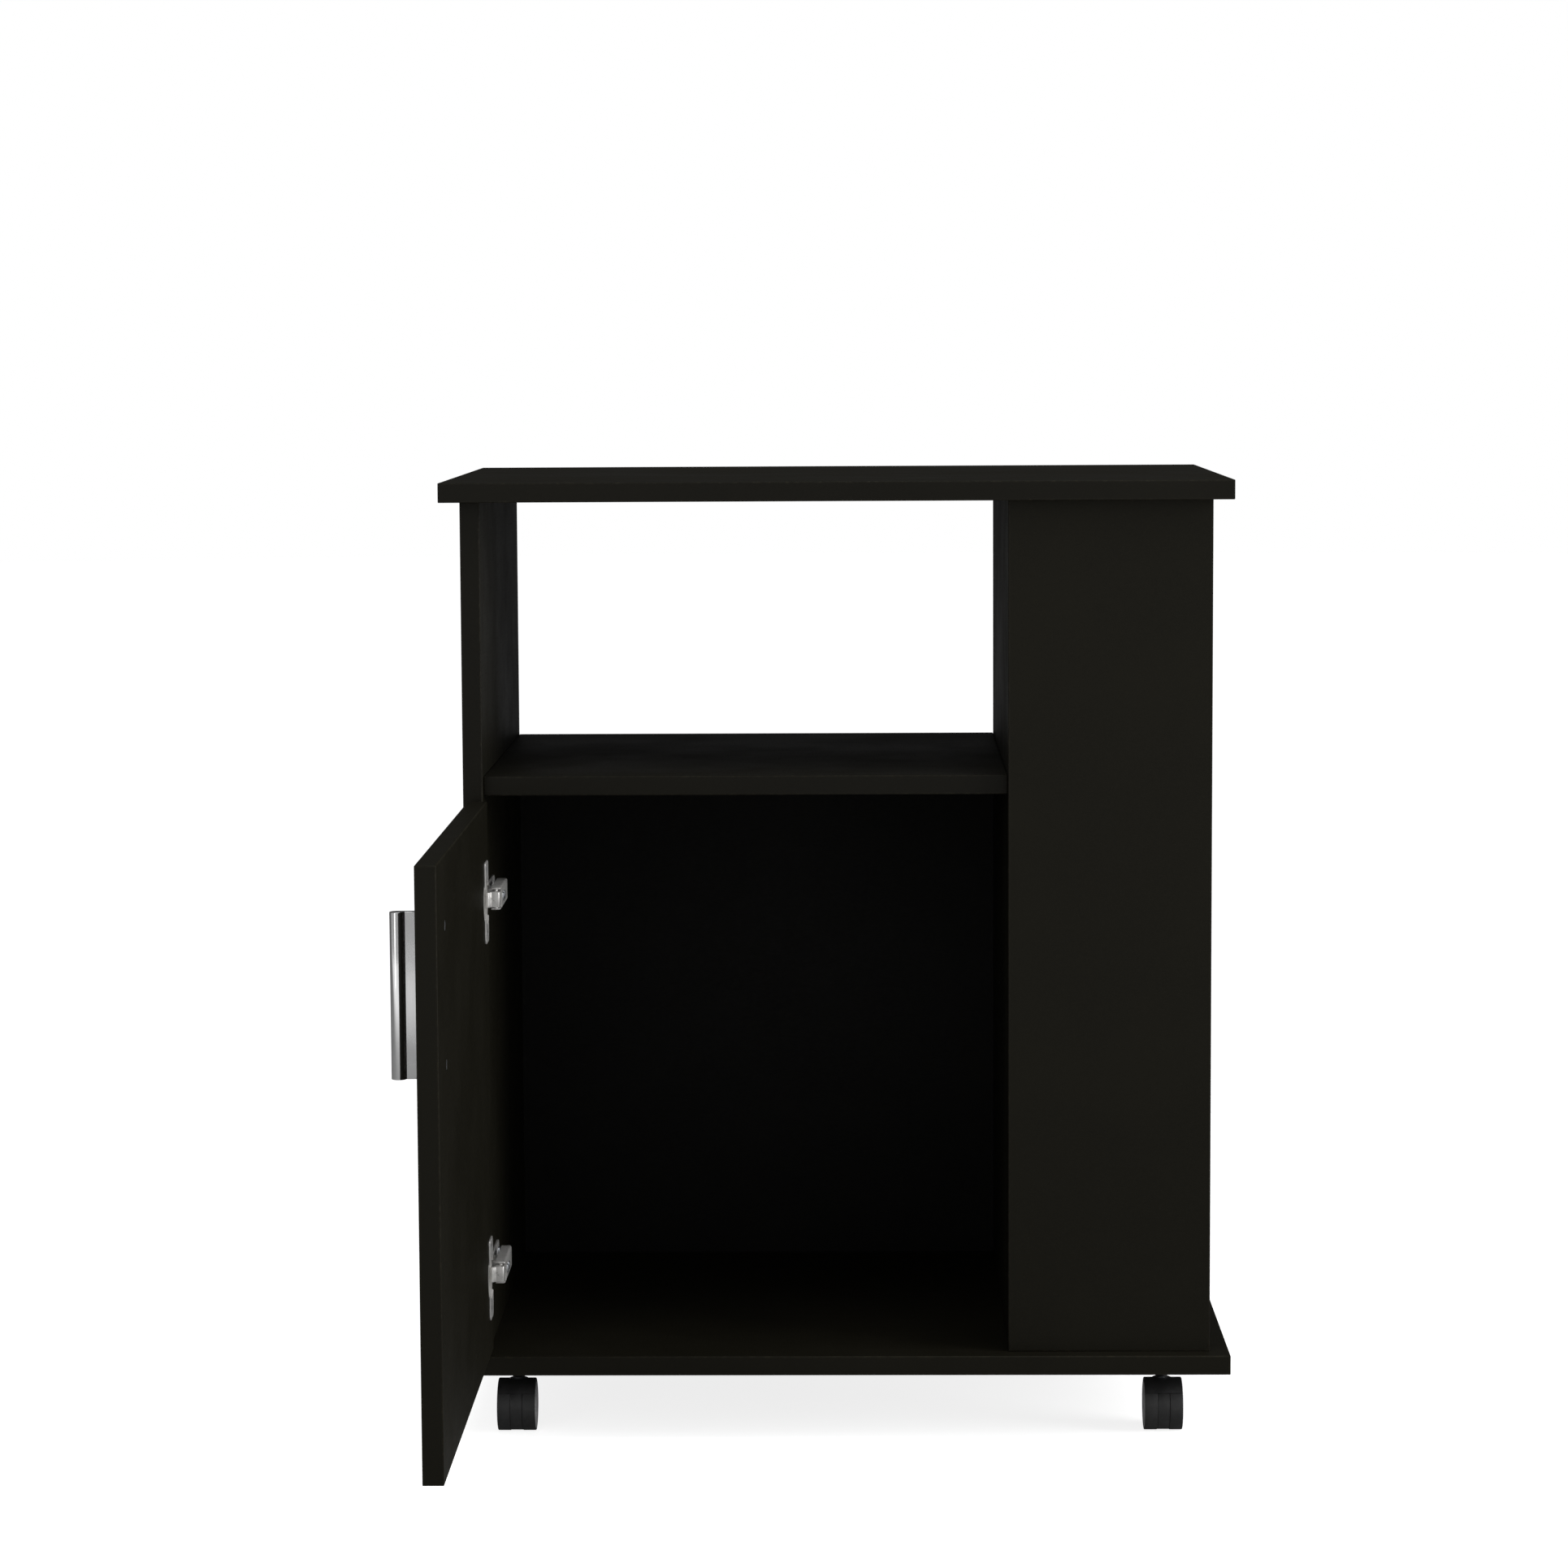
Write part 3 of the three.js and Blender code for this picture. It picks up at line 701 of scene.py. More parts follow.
# ---- screws ----
def screw_mesh(name, head_radius, head_height, shank_radius, length, sunk):
    """A cross-recessed screw along -X, its head's seat at the origin."""
    steps = 40
    if sunk:
        profile = [(0, 0), (head_radius - 0.25 * MM, 0), (head_radius, -0.2 * MM)]
        profile += [(shank_radius, -head_height)]
        top = 0.0
    else:
        dome = arc(0, -head_height * 0.4, 1, 90, 0, 8)
        profile = [
            (head_radius * x, head_height * (0.62 + 0.38 * (y + head_height * 0.4)))
            for x, y in dome
        ]
        profile[0] = (0, profile[0][1])
        profile += [(head_radius, 0.12 * MM), (head_radius - 0.1 * MM, 0)]
        profile += [(shank_radius, 0)]
        top = head_height
    profile += [(shank_radius, -length + shank_radius), (shank_radius * 0.3, -length)]
    profile += [(0, -length)]
    body = turned(name, profile, steps, "X")
    reach = head_radius * 0.62
    cutters = []
    for turn in (0, 90):
        slot = rounded_block(
            name + "_slot",
            (top - RECESS_DEPTH, -reach, -RECESS_HALF_WIDTH),
            (top + OVERCUT, reach, RECESS_HALF_WIDTH),
            0.12 * MM,
            1,
        )
        cutters.append(
            ("DIFFERENCE", moved(slot, Matrix.Rotation(math.radians(turn + 18), 4, "X")))
        )
    return combined(name, body, cutters, 30)


def put_screw(node, mesh, seat_x, body):
    """A screw piece in the place of its solid, its seat at the given X."""
    where = middle_of(node)
    place = Matrix.Translation((seat_x, where.y, where.z))
    fitted(node + "_fine", mesh, ("zinc",), body, "zinc", node, place=place)


# ---- operators ----
class CART_OT_boards(bpy.types.Operator):
    """Build the boards of the carcass with banded, rounded edges"""

    bl_idname = "cart.boards"
    bl_label = "Carcass boards"

    def execute(self, context):
        for node in FIXED_BOARDS:
            mesh = board_mesh(node + "_fine", node)
            if node == "base_panel":
                cutters = []
                for corner in CORNERS:
                    low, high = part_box(f"caster_{corner}_socket")
                    spot = (low + high) / 2
                    start = (spot.x, spot.y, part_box(node)[0].z - OVERCUT)
                    depth = high.z - start[2] + 0.3 * MM
                    cutters.append(hole("Z", SOCKET_HOLE_RADIUS, start, depth))
                mesh = combined(node + "_fine", mesh, cutters)
            fitted(node + "_fine", mesh, ("board", "band"), "carcass", "black_board", node)
        return {"FINISHED"}


class CART_OT_back_sheet(bpy.types.Operator):
    """Build the thin back sheet and the pins that hold it"""

    bl_idname = "cart.back_sheet"
    bl_label = "Back sheet"

    def execute(self, context):
        low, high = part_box("back_panel")
        sheet = rounded_block("back_sheet", low, high, SHEET_EDGE)
        fitted("back_sheet", sheet, ("hardboard",), "carcass", "back_board", "back_panel")
        self.pins(context.scene.cart_sizes.pin_spacing, low, high)
        return {"FINISHED"}

    def pins(self, spacing, low, high):
        """Domed pin heads along the sheet's margin, one mesh."""
        inner = (low.x + PIN_MARGIN, high.x - PIN_MARGIN)
        inner += (low.z + PIN_MARGIN, high.z - PIN_MARGIN)
        across = max(2, round((inner[1] - inner[0]) / spacing))
        up = max(2, round((inner[3] - inner[2]) / spacing))
        spots = []
        for i in range(across + 1):
            x = inner[0] + (inner[1] - inner[0]) * i / across
            spots += [(x, inner[2]), (x, inner[3])]
        for i in range(1, up):
            z = inner[2] + (inner[3] - inner[2]) * i / up
            spots += [(inner[0], z), (inner[1], z)]
        head = turned("pin_head", in_mm(PIN_HEAD), 20)
        work = bmesh.new()
        for x, z in spots:
            fresh = len(work.verts)
            work.from_mesh(head)
            work.verts.ensure_lookup_table()
            place = Matrix.Translation((x, high.y, z)) @ Matrix.Rotation(-math.pi / 2, 4, "X")
            bmesh.ops.transform(work, matrix=place, verts=work.verts[fresh:])
        name = "back_sheet_pins"
        fitted(name, mesh_of(work, name), ("zinc",), "carcass", "zinc")


class CART_OT_door(bpy.types.Operator):
    """Build the door with its cup pockets and screw holes"""

    bl_idname = "cart.door"
    bl_label = "Door"

    def execute(self, context):
        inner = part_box("door_panel")[1].x
        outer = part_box("door_panel")[0].x
        cutters = []
        for hinge in HINGES:
            low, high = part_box(hinge + "_cup")
            spot = (low + high) / 2
            radius = (high.y - low.y) / 2 + CUP_FIT
            start = (low.x - 0.3 * MM, spot.y, spot.z)
            depth = inner - start[0] + OVERCUT
            cutters.append(hole("X", radius, start, depth, 96))
        for screw in ("handle_screw_upper", "handle_screw_lower"):
            spot = middle_of(screw)
            start = (outer - OVERCUT, spot.y, spot.z)
            depth = inner - outer + 2 * OVERCUT
            cutters.append(hole("X", HANDLE_HOLE_RADIUS, start, depth))
            sink = turned("sink", in_mm(SCREW_SINK), 48, "X")
            cutters.append(
                ("DIFFERENCE", moved(sink, Matrix.Translation((inner, spot.y, spot.z))))
            )
        mesh = combined("door_panel_fine", board_mesh("door", "door_panel"), cutters)
        name = "door_panel_fine"
        fitted(name, mesh, ("board", "band"), "door", "black_board", "door_panel")
        return {"FINISHED"}


class CART_OT_handle(bpy.types.Operator):
    """Build the bar handle: a round bar on a full-length web"""

    bl_idname = "cart.handle"
    bl_label = "Bar handle"

    def execute(self, context):
        low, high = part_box("handle")
        radius = (high.y - low.y) / 2
        middle = (low.y + high.y) / 2
        screw_y = middle_of("handle_screw_upper").y
        web = 2 * screw_y - high.y
        drop = middle - web
        fillet = HANDLE_FILLET
        meet = math.degrees(math.asin((drop + fillet) / (radius + fillet)))
        reach = (radius + fillet) * math.cos(math.radians(meet))
        bar = low.x + radius
        outline = [(high.x, web), (high.x, high.y)]
        outline += arc(bar, middle, radius, 90, 360 - meet, 96)
        outline += arc(bar + reach, web - fillet, fillet, 180 - meet, 90, 4)[1:]
        mesh = extruded("handle_fine", outline, low.z, high.z, HANDLE_RIM, 3)
        for face in mesh.polygons:
            on_web = face.center.x > bar + reach and abs(face.normal.z) < 0.5
            face.material_index = 1 if on_web else 0
        fitted("handle_fine", mesh, ("chrome", "satin"), "door", "handle_chrome", "handle")
        screw = screw_mesh("handle_screw", *HANDLE_SCREW, True)
        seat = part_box("handle_screw_upper")[1].x
        for node in ("handle_screw_upper", "handle_screw_lower"):
            put_screw(node, screw, seat, "door")
        return {"FINISHED"}


class CART_OT_hinge_cups(bpy.types.Operator):
    """Build the pressed hinge cups, their flanges and screws"""

    bl_idname = "cart.hinge_cups"
    bl_label = "Hinge cups"

    def execute(self, context):
        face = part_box("door_panel")[1].x
        screw = screw_mesh("cup_screw", *CUP_SCREW, True)
        for hinge in HINGES:
            low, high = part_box(hinge + "_cup")
            spot = (low + high) / 2
            node = hinge + "_cup"
            mesh = self.cup(node + "_fine", low, high, face)
            place = Matrix.Translation((face, spot.y, spot.z))
            fitted(node + "_fine", mesh, ("nickel",), "door", "nickel", node, place=place)
            for end in ("top", "bottom"):
                put_screw(f"{hinge}_cup_screw_{end}", screw, high.x - 0.1 * MM, "door")
        return {"FINISHED"}

    def cup(self, name, low, high, face):
        """Cup and flange about the middle of the mouth, the door's face at X = 0."""
        radius = (high.y - low.y) / 2
        depth = face - low.x
        thick = high.x - face
        wall = CUP_WALL
        bend = CUP_BEND
        outside = [(0, -depth), (radius - bend, -depth)]
        outside += arc(radius - bend, -depth + bend, bend, -90, 0, 6)[1:]
        outside += [(radius, 0.1 * MM)]
        inside = [(radius - wall, 0.1 * MM)]
        inside += arc(radius - bend, -depth + bend, bend - wall, 0, -90, 6)
        inside += [(0, -depth + wall)]
        shell = turned(name, outside + inside, 96, "X")
        outline = rounded_outline((high.z - low.z) / 2, FLANGE_HALF_WIDTH, FLANGE_CORNER)
        sheet = extruded("flange", outline, -0.02 * MM, thick, 0.3 * MM)
        moved(sheet, ALONG_X)
        mouth = hole("X", radius - wall, (-depth / 2, 0, 0), depth, 96)
        parts = [("UNION", sheet), mouth]
        for side in (-1, 1):
            start = (-2 * MM, 0, side * CUP_SCREW_REACH)
            parts.append(hole("X", CUP_SCREW_HOLE, start, 6 * MM))
        return combined(name, shell, parts)


class CART_OT_hinge_links(bpy.types.Operator):
    """Build the links between the hinge arms and the cups"""

    bl_idname = "cart.hinge_links"
    bl_label = "Hinge links"

    def execute(self, context):
        joint = next(j for j in frame["joints"] if j["name"] == "hinge_link_swing")
        pin = Vector(joint["pos_m"])
        for hinge in HINGES:
            node = hinge + "_link"
            low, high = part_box(node)
            mesh = self.link(node + "_fine", low - pin, high - pin)
            place = Matrix.Translation((pin.x, pin.y, (low.z + high.z) / 2))
            fitted(node + "_fine", mesh, ("nickel",), "hinge_links", "nickel", node, place=place)
        return {"FINISHED"}

    def link(self, name, low, high):
        """A bar into the cup with a folded face in front, about its pin, all at rest."""
        half = LINK_HALF_HEIGHT
        eye = LINK_EYE
        tip = LINK_TIP
        end = Vector((low.x + tip, low.y + tip))
        length = end.length
        turn = math.degrees(math.asin((eye - tip) / length))
        outline = arc(0, 0, eye, 90 - turn, 270 + turn, 20)
        outline += arc(length, 0, tip, -90 + turn, 90 - turn, 10)
        bar = extruded("link", outline, -half, half, 0.35 * MM, 3)
        moved(bar, Matrix.Rotation(math.atan2(end.y, end.x), 4, "Z"))
        left, right, front = LINK_FACE
        sheet = LINK_SHEET
        bend = LINK_BEND
        fold = [(left, front), (right - bend, front)]
        fold += arc(right - bend, front + bend, bend, -90, 0, 5)[1:]
        fold += [(right, 0.6 * MM), (right - sheet, 0.6 * MM)]
        fold += [(right - sheet, front + sheet), (left, front + sheet)]
        face = extruded("face", fold, -half, half, 0.25 * MM, 2)
        reach = (high.z - low.z) / 2
        rivet = turned(
            "rivet",
            [(0, -reach), (1.1 * MM, -reach), (1.45 * MM, -reach + 0.4 * MM)]
            + [(1.45 * MM, reach - 0.4 * MM), (1.1 * MM, reach), (0, reach)],
            32,
        )
        return combined(name, bar, [("UNION", face), ("UNION", rivet)])


class CART_OT_hinge_arms(bpy.types.Operator):
    """Build the folded hinge arms with their adjusting screws"""

    bl_idname = "cart.hinge_arms"
    bl_label = "Hinge arms"

    def execute(self, context):
        setter = screw_mesh("arm_screw", *ARM_SCREW, False)
        for hinge in HINGES:
            node = hinge + "_arm"
            low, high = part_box(node)
            mesh = self.arm(node + "_fine", low, high)
            fitted(node + "_fine", mesh, ("nickel",), "carcass", "nickel", node)
            for k, y in enumerate(ARM_SCREWS):
                name = f"{hinge}_arm_screw_{k + 1}"
                place = Matrix.Translation((high.x - 0.1 * MM, low.y + y, (low.z + high.z) / 2))
                fitted(name, setter, ("zinc",), "carcass", "zinc", place=place)
        return {"FINISHED"}

    def arm(self, name, low, high):
        """A channel with round bends; only its two cheeks go on beside the link."""
        wall = ARM_WALL
        bend = ARM_BEND
        middle = (low.z + high.z) / 2
        half = (high.z - low.z) / 2
        depth = high.x - low.x
        outline = [(0, -half), (depth - bend, -half)]
        outline += arc(depth - bend, -half + bend, bend, -90, 0, 5)[1:]
        outline += arc(depth - bend, half - bend, bend, 0, 90, 5)
        outline += [(0, half)]
        block = extruded("arm", outline, 0, high.y - low.y, 0.4 * MM, 3)
        # The outline's own X and Y become the arm's X and Z.
        stand = Matrix(((1, 0, 0, low.x), (0, 0, 1, low.y), (0, 1, 0, middle), (0, 0, 0, 1)))
        moved(block, stand)
        block.flip_normals()
        front = low.y + ARM_NOSE
        inside = rounded_block(
            "inside",
            (low.x - 2 * MM, front - 1 * MM, middle - half + wall),
            (high.x - wall, high.y - wall, middle + half - wall),
            0.7 * MM,
        )
        slot = rounded_block(
            "slot",
            (low.x - 2 * MM, low.y - 2 * MM, middle - half + wall),
            (high.x + 2 * MM, front, middle + half - wall),
            0.3 * MM,
        )
        return combined(name, block, [("DIFFERENCE", inside), ("DIFFERENCE", slot)])


class CART_OT_hinge_plates(bpy.types.Operator):
    """Build the hinge mounting plates and their screws"""

    bl_idname = "cart.hinge_plates"
    bl_label = "Mounting plates"

    def execute(self, context):
        screw = screw_mesh("plate_screw", *PLATE_SCREW, False)
        for hinge in HINGES:
            low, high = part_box(hinge + "_plate")
            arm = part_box(hinge + "_arm")
            middle = (low.z + high.z) / 2
            seat = low.x + PLATE_THICK
            outline = rounded_outline((high.z - low.z) / 2, (high.y - low.y) / 2, 4 * MM)
            foot = extruded("foot", outline, 0, PLATE_THICK, 0.5 * MM, 3)
            centre = Vector((low.x, (low.y + high.y) / 2, middle))
            moved(foot, Matrix.Translation(centre) @ ALONG_X)
            rib = rounded_block(
                "rib",
                (low.x + 1 * MM, low.y + 2 * MM, middle - RIB_HALF_HEIGHT),
                (arm[1].x - 2 * MM, low.y + RIB_LENGTH, middle + RIB_HALF_HEIGHT),
                0.8 * MM,
            )
            joined = [("UNION", rib)]
            for end in ("front", "rear"):
                spot = middle_of(f"{hinge}_plate_screw_{end}")
                start = (low.x - OVERCUT, spot.y, spot.z)
                joined.append(hole("X", PLATE_HOLE, start, 5 * MM, 32))
            name = hinge + "_plate_fine"
            mesh = combined(name, foot, joined)
            fitted(name, mesh, ("nickel",), "carcass", "nickel", hinge + "_plate")
            for end in ("front", "rear"):
                put_screw(f"{hinge}_plate_screw_{end}", screw, seat, "carcass")
        return {"FINISHED"}


class CART_OT_caster_stems(bpy.types.Operator):
    """Build the caster sleeves and their steel stems"""

    bl_idname = "cart.caster_stems"
    bl_label = "Caster stems"

    def execute(self, context):
        steps = context.scene.cart_sizes.round_steps
        low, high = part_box("caster_front_left_socket")
        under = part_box("base_panel")[0].z
        collar = (high.x - low.x) / 2 - 0.05 * MM
        bore = STEM_HOLE
        drop = under - low.z
        ring = COLLAR_RING
        sleeve = turned(
            "caster_socket",
            [(bore, high.z - under), (collar, high.z - under), (collar, 0.15 * MM)]
            + [(ring, 0.15 * MM)]
            + arc(ring - 0.3 * MM, -drop + 0.3 * MM, 0.3 * MM, 0, -90, 4)
            + [(bore + 0.3 * MM, -drop), (bore, -drop + 0.3 * MM), (bore, high.z - under)],
            steps,
        )
        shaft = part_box("caster_front_left_stem")
        radius = (shaft[1].x - shaft[0].x) / 2
        foot = shaft[0].z - under
        head = shaft[1].z - under
        stem = turned(
            "caster_stem",
            [(0, foot), (radius - 0.8 * MM, foot), (radius, foot + 0.8 * MM)]
            + [(radius, -9.4 * MM), (radius - GROOVE_DEPTH, -9.0 * MM)]
            + [(radius - GROOVE_DEPTH, -7.8 * MM), (radius, -7.4 * MM), (radius, head - 2 * MM)]
            + [(radius - 1 * MM, head), (0, head)],
            steps,
        )
        for corner in CORNERS:
            spot = middle_of(f"caster_{corner}_stem")
            place = Matrix.Translation((spot.x, spot.y, under))
            for part, mesh, finish, slot in (
                ("socket", sleeve, "nylon", "black_plastic"),
                ("stem", stem, "zinc", "zinc"),
            ):
                node = f"caster_{corner}_{part}"
                fitted(node + "_fine", mesh, (finish,), "carcass", slot, node, place=place)
        return {"FINISHED"}


class CART_OT_caster_bodies(bpy.types.Operator):
    """Build the caster bodies: web, hood and boss"""

    bl_idname = "cart.caster_bodies"
    bl_label = "Caster bodies"

    def execute(self, context):
        mesh = self.body(context.scene.cart_sizes.round_steps)
        for corner in CORNERS:
            place = Matrix.Translation(middle_of(f"caster_{corner}_axle"))
            swivel = f"caster_{corner}_swivel"
            node = f"caster_{corner}_body"
            fitted(node + "_fine", mesh, ("nylon",), swivel, "black_plastic", node, place=place)
            self.axle(f"caster_{corner}_axle", place, swivel)
        return {"FINISHED"}

    def axle(self, node, place, swivel):
        """A steel pin with broken ends."""
        low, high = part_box(node)
        half = (high.x - low.x) / 2
        radius = (high.z - low.z) / 2 - 0.02 * MM
        mesh = turned(
            node + "_fine",
            [(0, -half), (radius - 0.4 * MM, -half), (radius, -half + 0.4 * MM)]
            + [(radius, half - 0.4 * MM), (radius - 0.4 * MM, half), (0, half)],
            40,
            "X",
        )
        fitted(node + "_fine", mesh, ("zinc",), swivel, "zinc", node, place=place)

    def body(self, steps):
        """One body about the axle's middle; the stem stands behind it."""
        low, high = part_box("caster_front_left_body")
        axle = middle_of("caster_front_left_axle")
        stem = middle_of("caster_front_left_stem")
        wheel_low, wheel_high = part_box("caster_front_left_wheel_right")
        wheel = (wheel_high.z - wheel_low.z) / 2
        web = wheel_low.x - axle.x - WHEEL_GAP
        half = (high.x - low.x) / 2
        trail = stem.y - axle.y
        crown = high.z - axle.z
        disc_radius = axle.z - low.z
        rim = 0.25 * MM
        disc = turned(
            "disc",
            [(0, -web), (disc_radius - rim, -web)]
            + arc(disc_radius - rim, -web + rim, rim, -90, 0, 5)[1:]
            + arc(disc_radius - rim, web - rim, rim, 0, 90, 5)
            + [(0, web)],
            steps,
            "X",
        )
        boss = turned(
            "boss",
            [(0, crown - 20 * MM), (7.2 * MM, crown - 20 * MM), (7.8 * MM, crown - 8 * MM)]
            + arc(6.8 * MM, crown - 4.0 * MM, 1.0 * MM, 0, 90, 6)
            + [(4.7 * MM, crown - 2.9 * MM), (4.6 * MM, crown), (0, crown)],
            steps,
        )
        moved(boss, Matrix.Translation((0, trail, 0)))
        tie = rounded_block(
            "tie",
            (-web, 0, -5 * MM),
            (web, trail + 5 * MM, crown - 2.2 * MM),
            0.8 * MM,
        )
        parts = [("UNION", boss), ("UNION", tie), ("UNION", self.hood(wheel, crown, half))]
        clear = wheel + WELL_GAP
        for side in (-1, 1):
            face = web + 0.03 * MM
            start = (face if side > 0 else -face - 13 * MM, 0, 0)
            parts.append(hole("X", clear, start, 13 * MM, 96))
        start = (0, trail, stem.z - axle.z - 20.4 * MM)
        parts.append(hole("Z", STEM_IN_BODY, start, 60 * MM))
        start = (-half - 2 * MM, 0, 0)
        parts.append(hole("X", AXLE_HOLE, start, 2 * half + 4 * MM))
        return combined("caster_body", disc, parts)

    def hood(self, wheel, crown, half):
        """A shell with rounded shoulders that reaches over both wheels."""
        inner = wheel + HOOD_GAP
        outer = crown - 0.03 * MM
        shoulder = HOOD_SHOULDER
        section = [(inner, -half)]
        section += arc(outer - shoulder, -half + shoulder, shoulder, -90, 0, 5)
        section += arc(outer - shoulder, half - shoulder, shoulder, 0, 90, 5)
        section += [(inner, half)]
        work = bmesh.new()
        first, last, count = HOOD_ARC
        rows = []
        for i in range(count + 1):
            angle = math.radians(first + (last - first) * i / count)
            row = []
            for radius, x in section:
                row.append(
                    work.verts.new((x, radius * math.cos(angle), radius * math.sin(angle)))
                )
            rows.append(row)
        size = len(section)
        for before, after in zip(rows, rows[1:]):
            for k in range(size):
                n = (k + 1) % size
                work.faces.new((before[k], before[n], after[n], after[k]))
        work.faces.new(rows[0])
        work.faces.new(rows[-1][::-1])
        return mesh_of(work, "hood")


class CART_OT_wheels(bpy.types.Operator):
    """Build the eight caster wheels: black tread, grey disc"""

    bl_idname = "cart.wheels"
    bl_label = "Caster wheels"

    def execute(self, context):
        mesh = self.wheel(context.scene.cart_sizes.round_steps + 24)
        for corner in CORNERS:
            swivel = middle_of(f"caster_{corner}_axle")
            for side in ("left", "right"):
                node = f"caster_{corner}_wheel_{side}"
                turn = 0 if side == "right" else math.pi
                place = Matrix.Translation(swivel) @ Matrix.Rotation(turn, 4, "Z")
                finishes = ("tread", "disc")
                fitted(node + "_fine", mesh, finishes, node, "wheel_plastic", node, place=place)
        return {"FINISHED"}

    def wheel(self, steps):
        """The right-hand wheel about the caster's axle, its outside towards +X."""
        low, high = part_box("caster_front_left_wheel_right")
        middle = middle_of("caster_front_left_axle").x
        radius = (high.z - low.z) / 2
        inner, outer = low.x - middle, high.x - middle
        bore = AXLE_HOLE
        tight = 0.25 * MM
        tread = 0.6 * MM
        rim = outer - 0.22 * MM
        lip = radius - 1.3 * MM
        profile = [(bore, inner), (radius - tight, inner)]
        profile += arc(radius - tight, inner + tight, tight, -90, 0, 3)[1:]
        profile += arc(radius - tread, rim - tread, tread, 0, 80, 5)
        profile += [(lip, rim)]
        black = len(profile) - 1
        profile += [(lip - 0.2 * MM, rim - 0.12 * MM), (lip - 0.5 * MM, rim + 0.04 * MM)]
        profile += [(9.4 * MM, outer - 0.10 * MM), (9.2 * MM, outer - 0.26 * MM)]
        profile += [(8.7 * MM, outer - 0.26 * MM), (8.5 * MM, outer - 0.06 * MM)]
        profile += [(4.5 * MM, outer - 0.02 * MM), (0, outer)]
        grey = len(profile) - 1
        seat = outer - 1.5 * MM
        profile = [(0, seat), (bore, seat)] + profile
        zones = [0] * (black + 2) + [1] * (grey - black)
        return turned("caster_wheel", profile, steps, "X", zones)


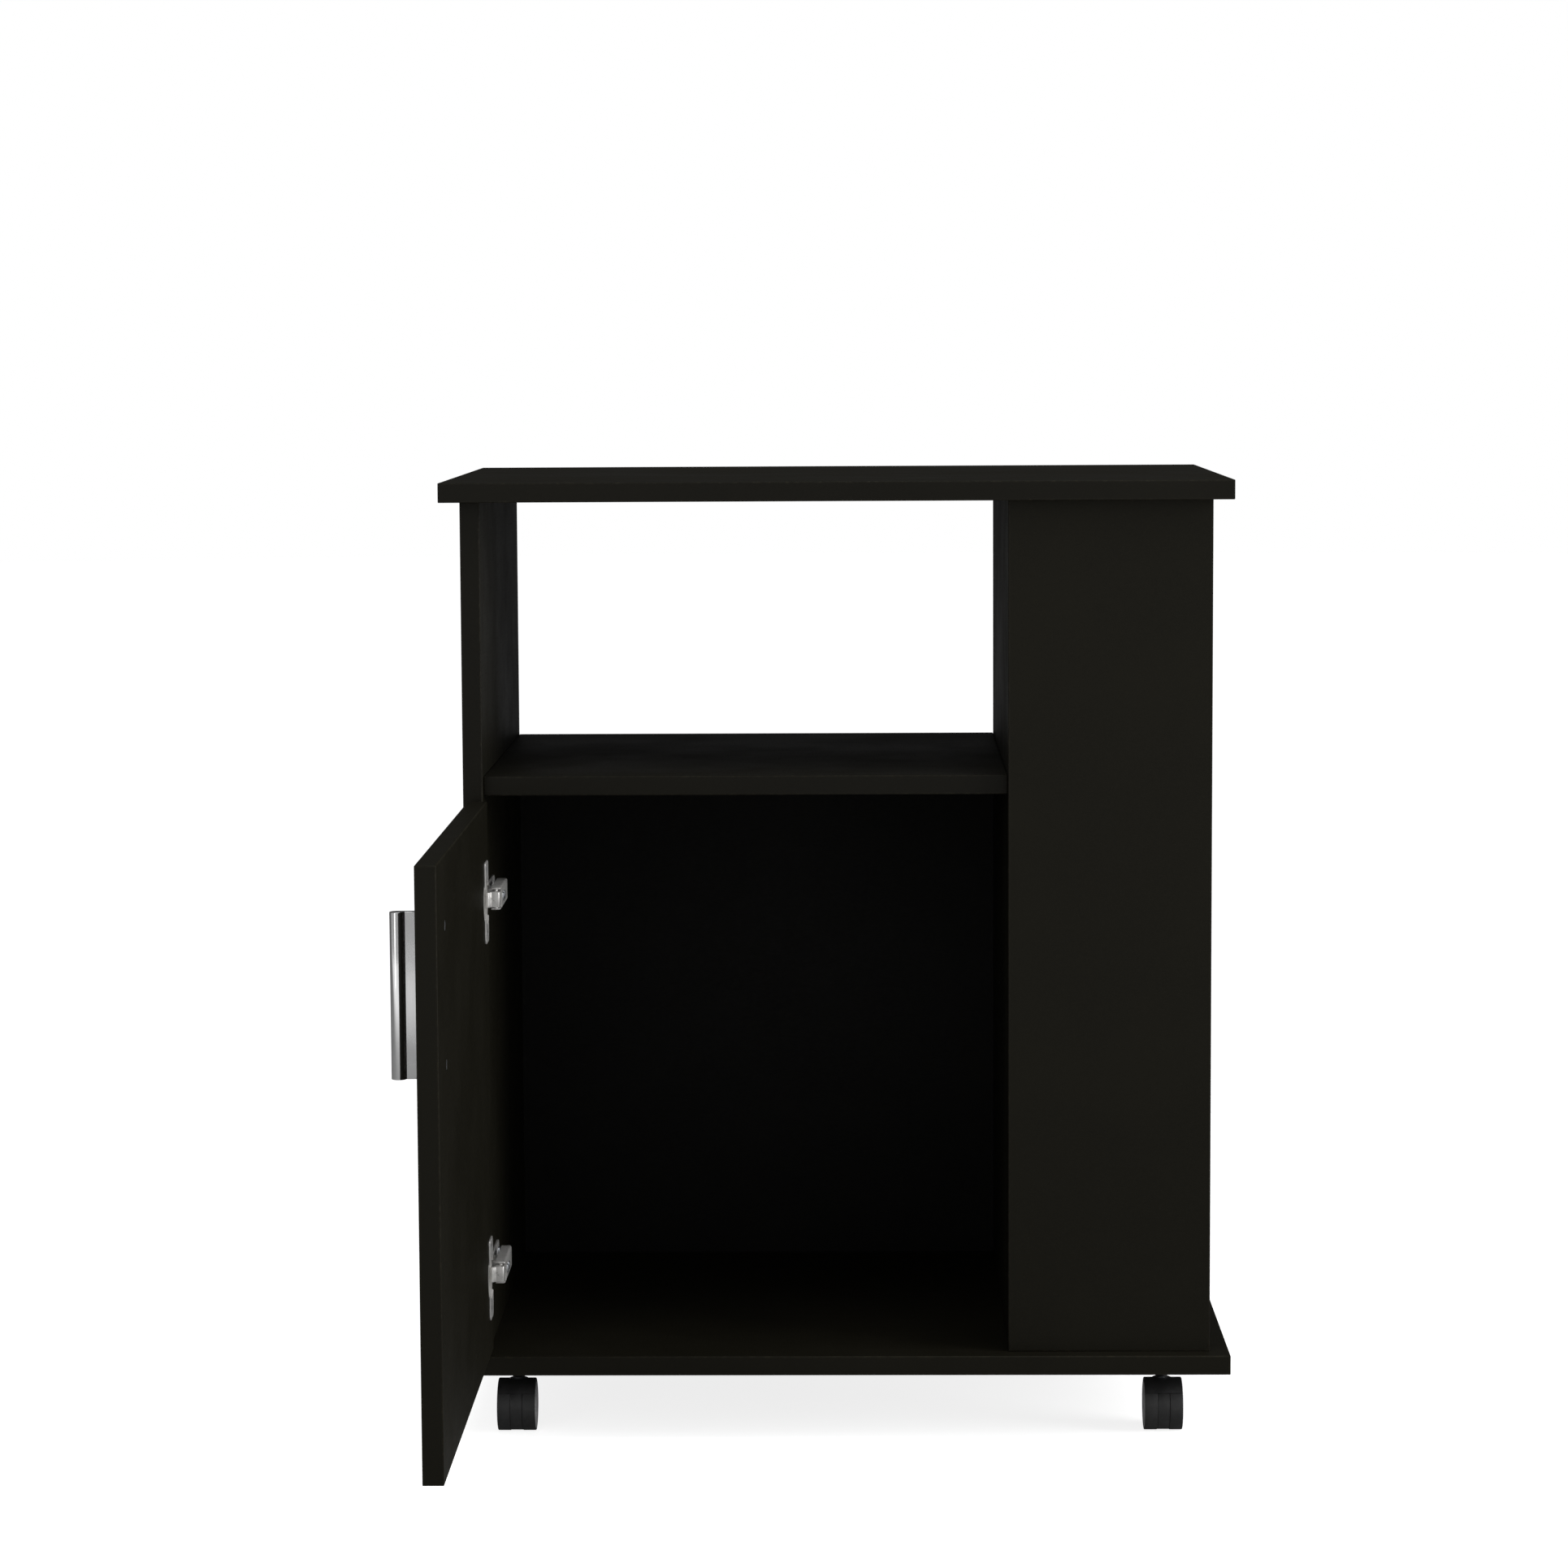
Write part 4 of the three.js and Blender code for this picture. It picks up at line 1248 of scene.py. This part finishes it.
class CART_OT_stage(bpy.types.Operator):
    """Set the floor, the soft studio lights, the backdrop and the camera"""

    bl_idname = "cart.stage"
    bl_label = "Stage"

    def execute(self, context):
        context.scene.view_settings.view_transform = "Standard"
        self.floor(context)
        self.backdrop(context)
        for light in LIGHTS:
            self.light(*light)
        self.camera(context)
        return {"FINISHED"}

    def floor(self, context):
        """A wide disc just under the wheels."""
        work = bmesh.new()
        bmesh.ops.create_circle(work, cap_ends=True, radius=14, segments=96)
        mesh = mesh_of(work, "floor")
        floor = bpy.data.objects.new("floor", mesh)
        floor.location.z = -0.05 * MM
        context.scene.collection.objects.link(floor)
        finish = Finish("stage_floor")
        tone = context.scene.cart_colours.floor
        tree = finish.tree
        finish.colour(finish.between(finish.noise(3, 2), scaled(tone, 0.45), scaled(tone, 0.44)))
        finish.socket("Roughness", 0.8)
        finish.socket("Specular IOR Level", 0.1)
        # The floor in front throws back more light, which the upright faces reflect.
        split = add(tree, "SeparateXYZ")
        finish.link(finish.where, split.inputs["Vector"])
        front = finish.ranged(split.outputs["Y"], -2.6, -0.8, 0.68, 0.03, True)
        finish.link(front, finish.shader.inputs["Emission Strength"])
        finish.socket("Emission Color", (1, 1, 1, 1))
        pale = add(tree, "BsdfDiffuse")
        finish.link(
            finish.between(finish.noise(3, 2), tone, scaled(tone, 0.985)), pale.inputs["Color"]
        )
        glow = add(tree, "Emission", Strength=0.82)
        lifted = add(tree, "AddShader")
        finish.link(pale.outputs["BSDF"], lifted.inputs[0])
        finish.link(glow.outputs["Emission"], lifted.inputs[1])
        seen = lifted.outputs["Shader"]
        self.split(tree, finish.shader.outputs["BSDF"], seen, "Material Output")
        mesh.materials.append(finish.material)

    def backdrop(self, context):
        """White where it is seen; as a light, a soft grey in front that falls off to the rear."""
        world = bpy.data.worlds.new("studio")
        world.use_nodes = True
        context.scene.world = world
        tree = world.node_tree
        where = add(tree, "TexCoord")
        parts = add(tree, "SeparateXYZ")
        tree.links.new(where.outputs["Generated"], parts.inputs["Vector"])
        fall = add(tree, "MapRange", From_Min=-0.35, From_Max=0.55, To_Min=0.40, To_Max=0.06)
        fall.interpolation_type = "SMOOTHSTEP"
        tree.links.new(parts.outputs["Y"], fall.inputs["Value"])
        fill = tree.nodes["Background"]
        fill.inputs["Color"].default_value = (1, 1, 1, 1)
        tree.links.new(fall.outputs["Result"], fill.inputs["Strength"])
        seen = add(tree, "Background", Color=(1, 1, 1, 1), Strength=1.0)
        self.split(tree, fill.outputs["Background"], seen.outputs["Background"], "World Output")

    def split(self, tree, as_light, as_seen, output):
        """One shader for the light that it throws, another for how it looks."""
        rays = add(tree, "LightPath")
        mix = add(tree, "MixShader")
        tree.links.new(rays.outputs["Is Camera Ray"], mix.inputs["Fac"])
        tree.links.new(as_light, mix.inputs[1])
        tree.links.new(as_seen, mix.inputs[2])
        tree.links.new(mix.outputs["Shader"], tree.nodes[output].inputs["Surface"])

    def light(self, name, place, target, size, power):
        """A soft rectangular light turned towards a point."""
        lamp = bpy.data.lights.new(name, "AREA")
        lamp.shape = "RECTANGLE"
        lamp.size, lamp.size_y = size
        lamp.energy = power
        holder = bpy.data.objects.new(name, lamp)
        holder.location = place
        aim = Vector(target) - Vector(place)
        holder.rotation_euler = aim.to_track_quat("-Z", "Y").to_euler()
        bpy.context.scene.collection.objects.link(holder)

    def camera(self, context):
        """A 100 mm view from the front, a little above the worktop."""
        lens = bpy.data.cameras.new("camera")
        lens.lens = 100
        lens.sensor_width = 36
        lens.clip_end = 60
        camera = bpy.data.objects.new("camera", lens)
        camera.location = CAMERA_PLACE
        camera.rotation_euler = [math.radians(angle) for angle in CAMERA_TURN]
        context.scene.collection.objects.link(camera)
        context.scene.camera = camera


class CART_PT_panel(bpy.types.Panel):
    """The cart's settings and the steps that build it"""

    bl_idname = "CART_PT_panel"
    bl_label = "Kitchen Island Cart"
    bl_space_type = "VIEW_3D"
    bl_region_type = "UI"
    bl_category = "Cart"

    def draw(self, context):
        for settings in (context.scene.cart_sizes, context.scene.cart_colours):
            box = self.layout.box()
            for name in settings.__annotations__:
                box.prop(settings, name)
        for operator in STEPS:
            self.layout.operator(operator.bl_idname)


STEPS = (
    CART_OT_boards,
    CART_OT_back_sheet,
    CART_OT_door,
    CART_OT_handle,
    CART_OT_hinge_cups,
    CART_OT_hinge_links,
    CART_OT_hinge_arms,
    CART_OT_hinge_plates,
    CART_OT_caster_stems,
    CART_OT_caster_bodies,
    CART_OT_wheels,
    CART_OT_stage,
)


def register():
    for item in (CartSizes, CartColours, *STEPS, CART_PT_panel):
        bpy.utils.register_class(item)
    bpy.types.Scene.cart_sizes = bpy.props.PointerProperty(type=CartSizes)
    bpy.types.Scene.cart_colours = bpy.props.PointerProperty(type=CartColours)


def unregister():
    del bpy.types.Scene.cart_colours
    del bpy.types.Scene.cart_sizes
    for item in reversed((CartSizes, CartColours, *STEPS, CART_PT_panel)):
        bpy.utils.unregister_class(item)


def main():
    register()
    for step in STEPS:
        group, name = step.bl_idname.split(".")
        getattr(getattr(bpy.ops, group), name)()


if __name__ == "__main__":
    main()
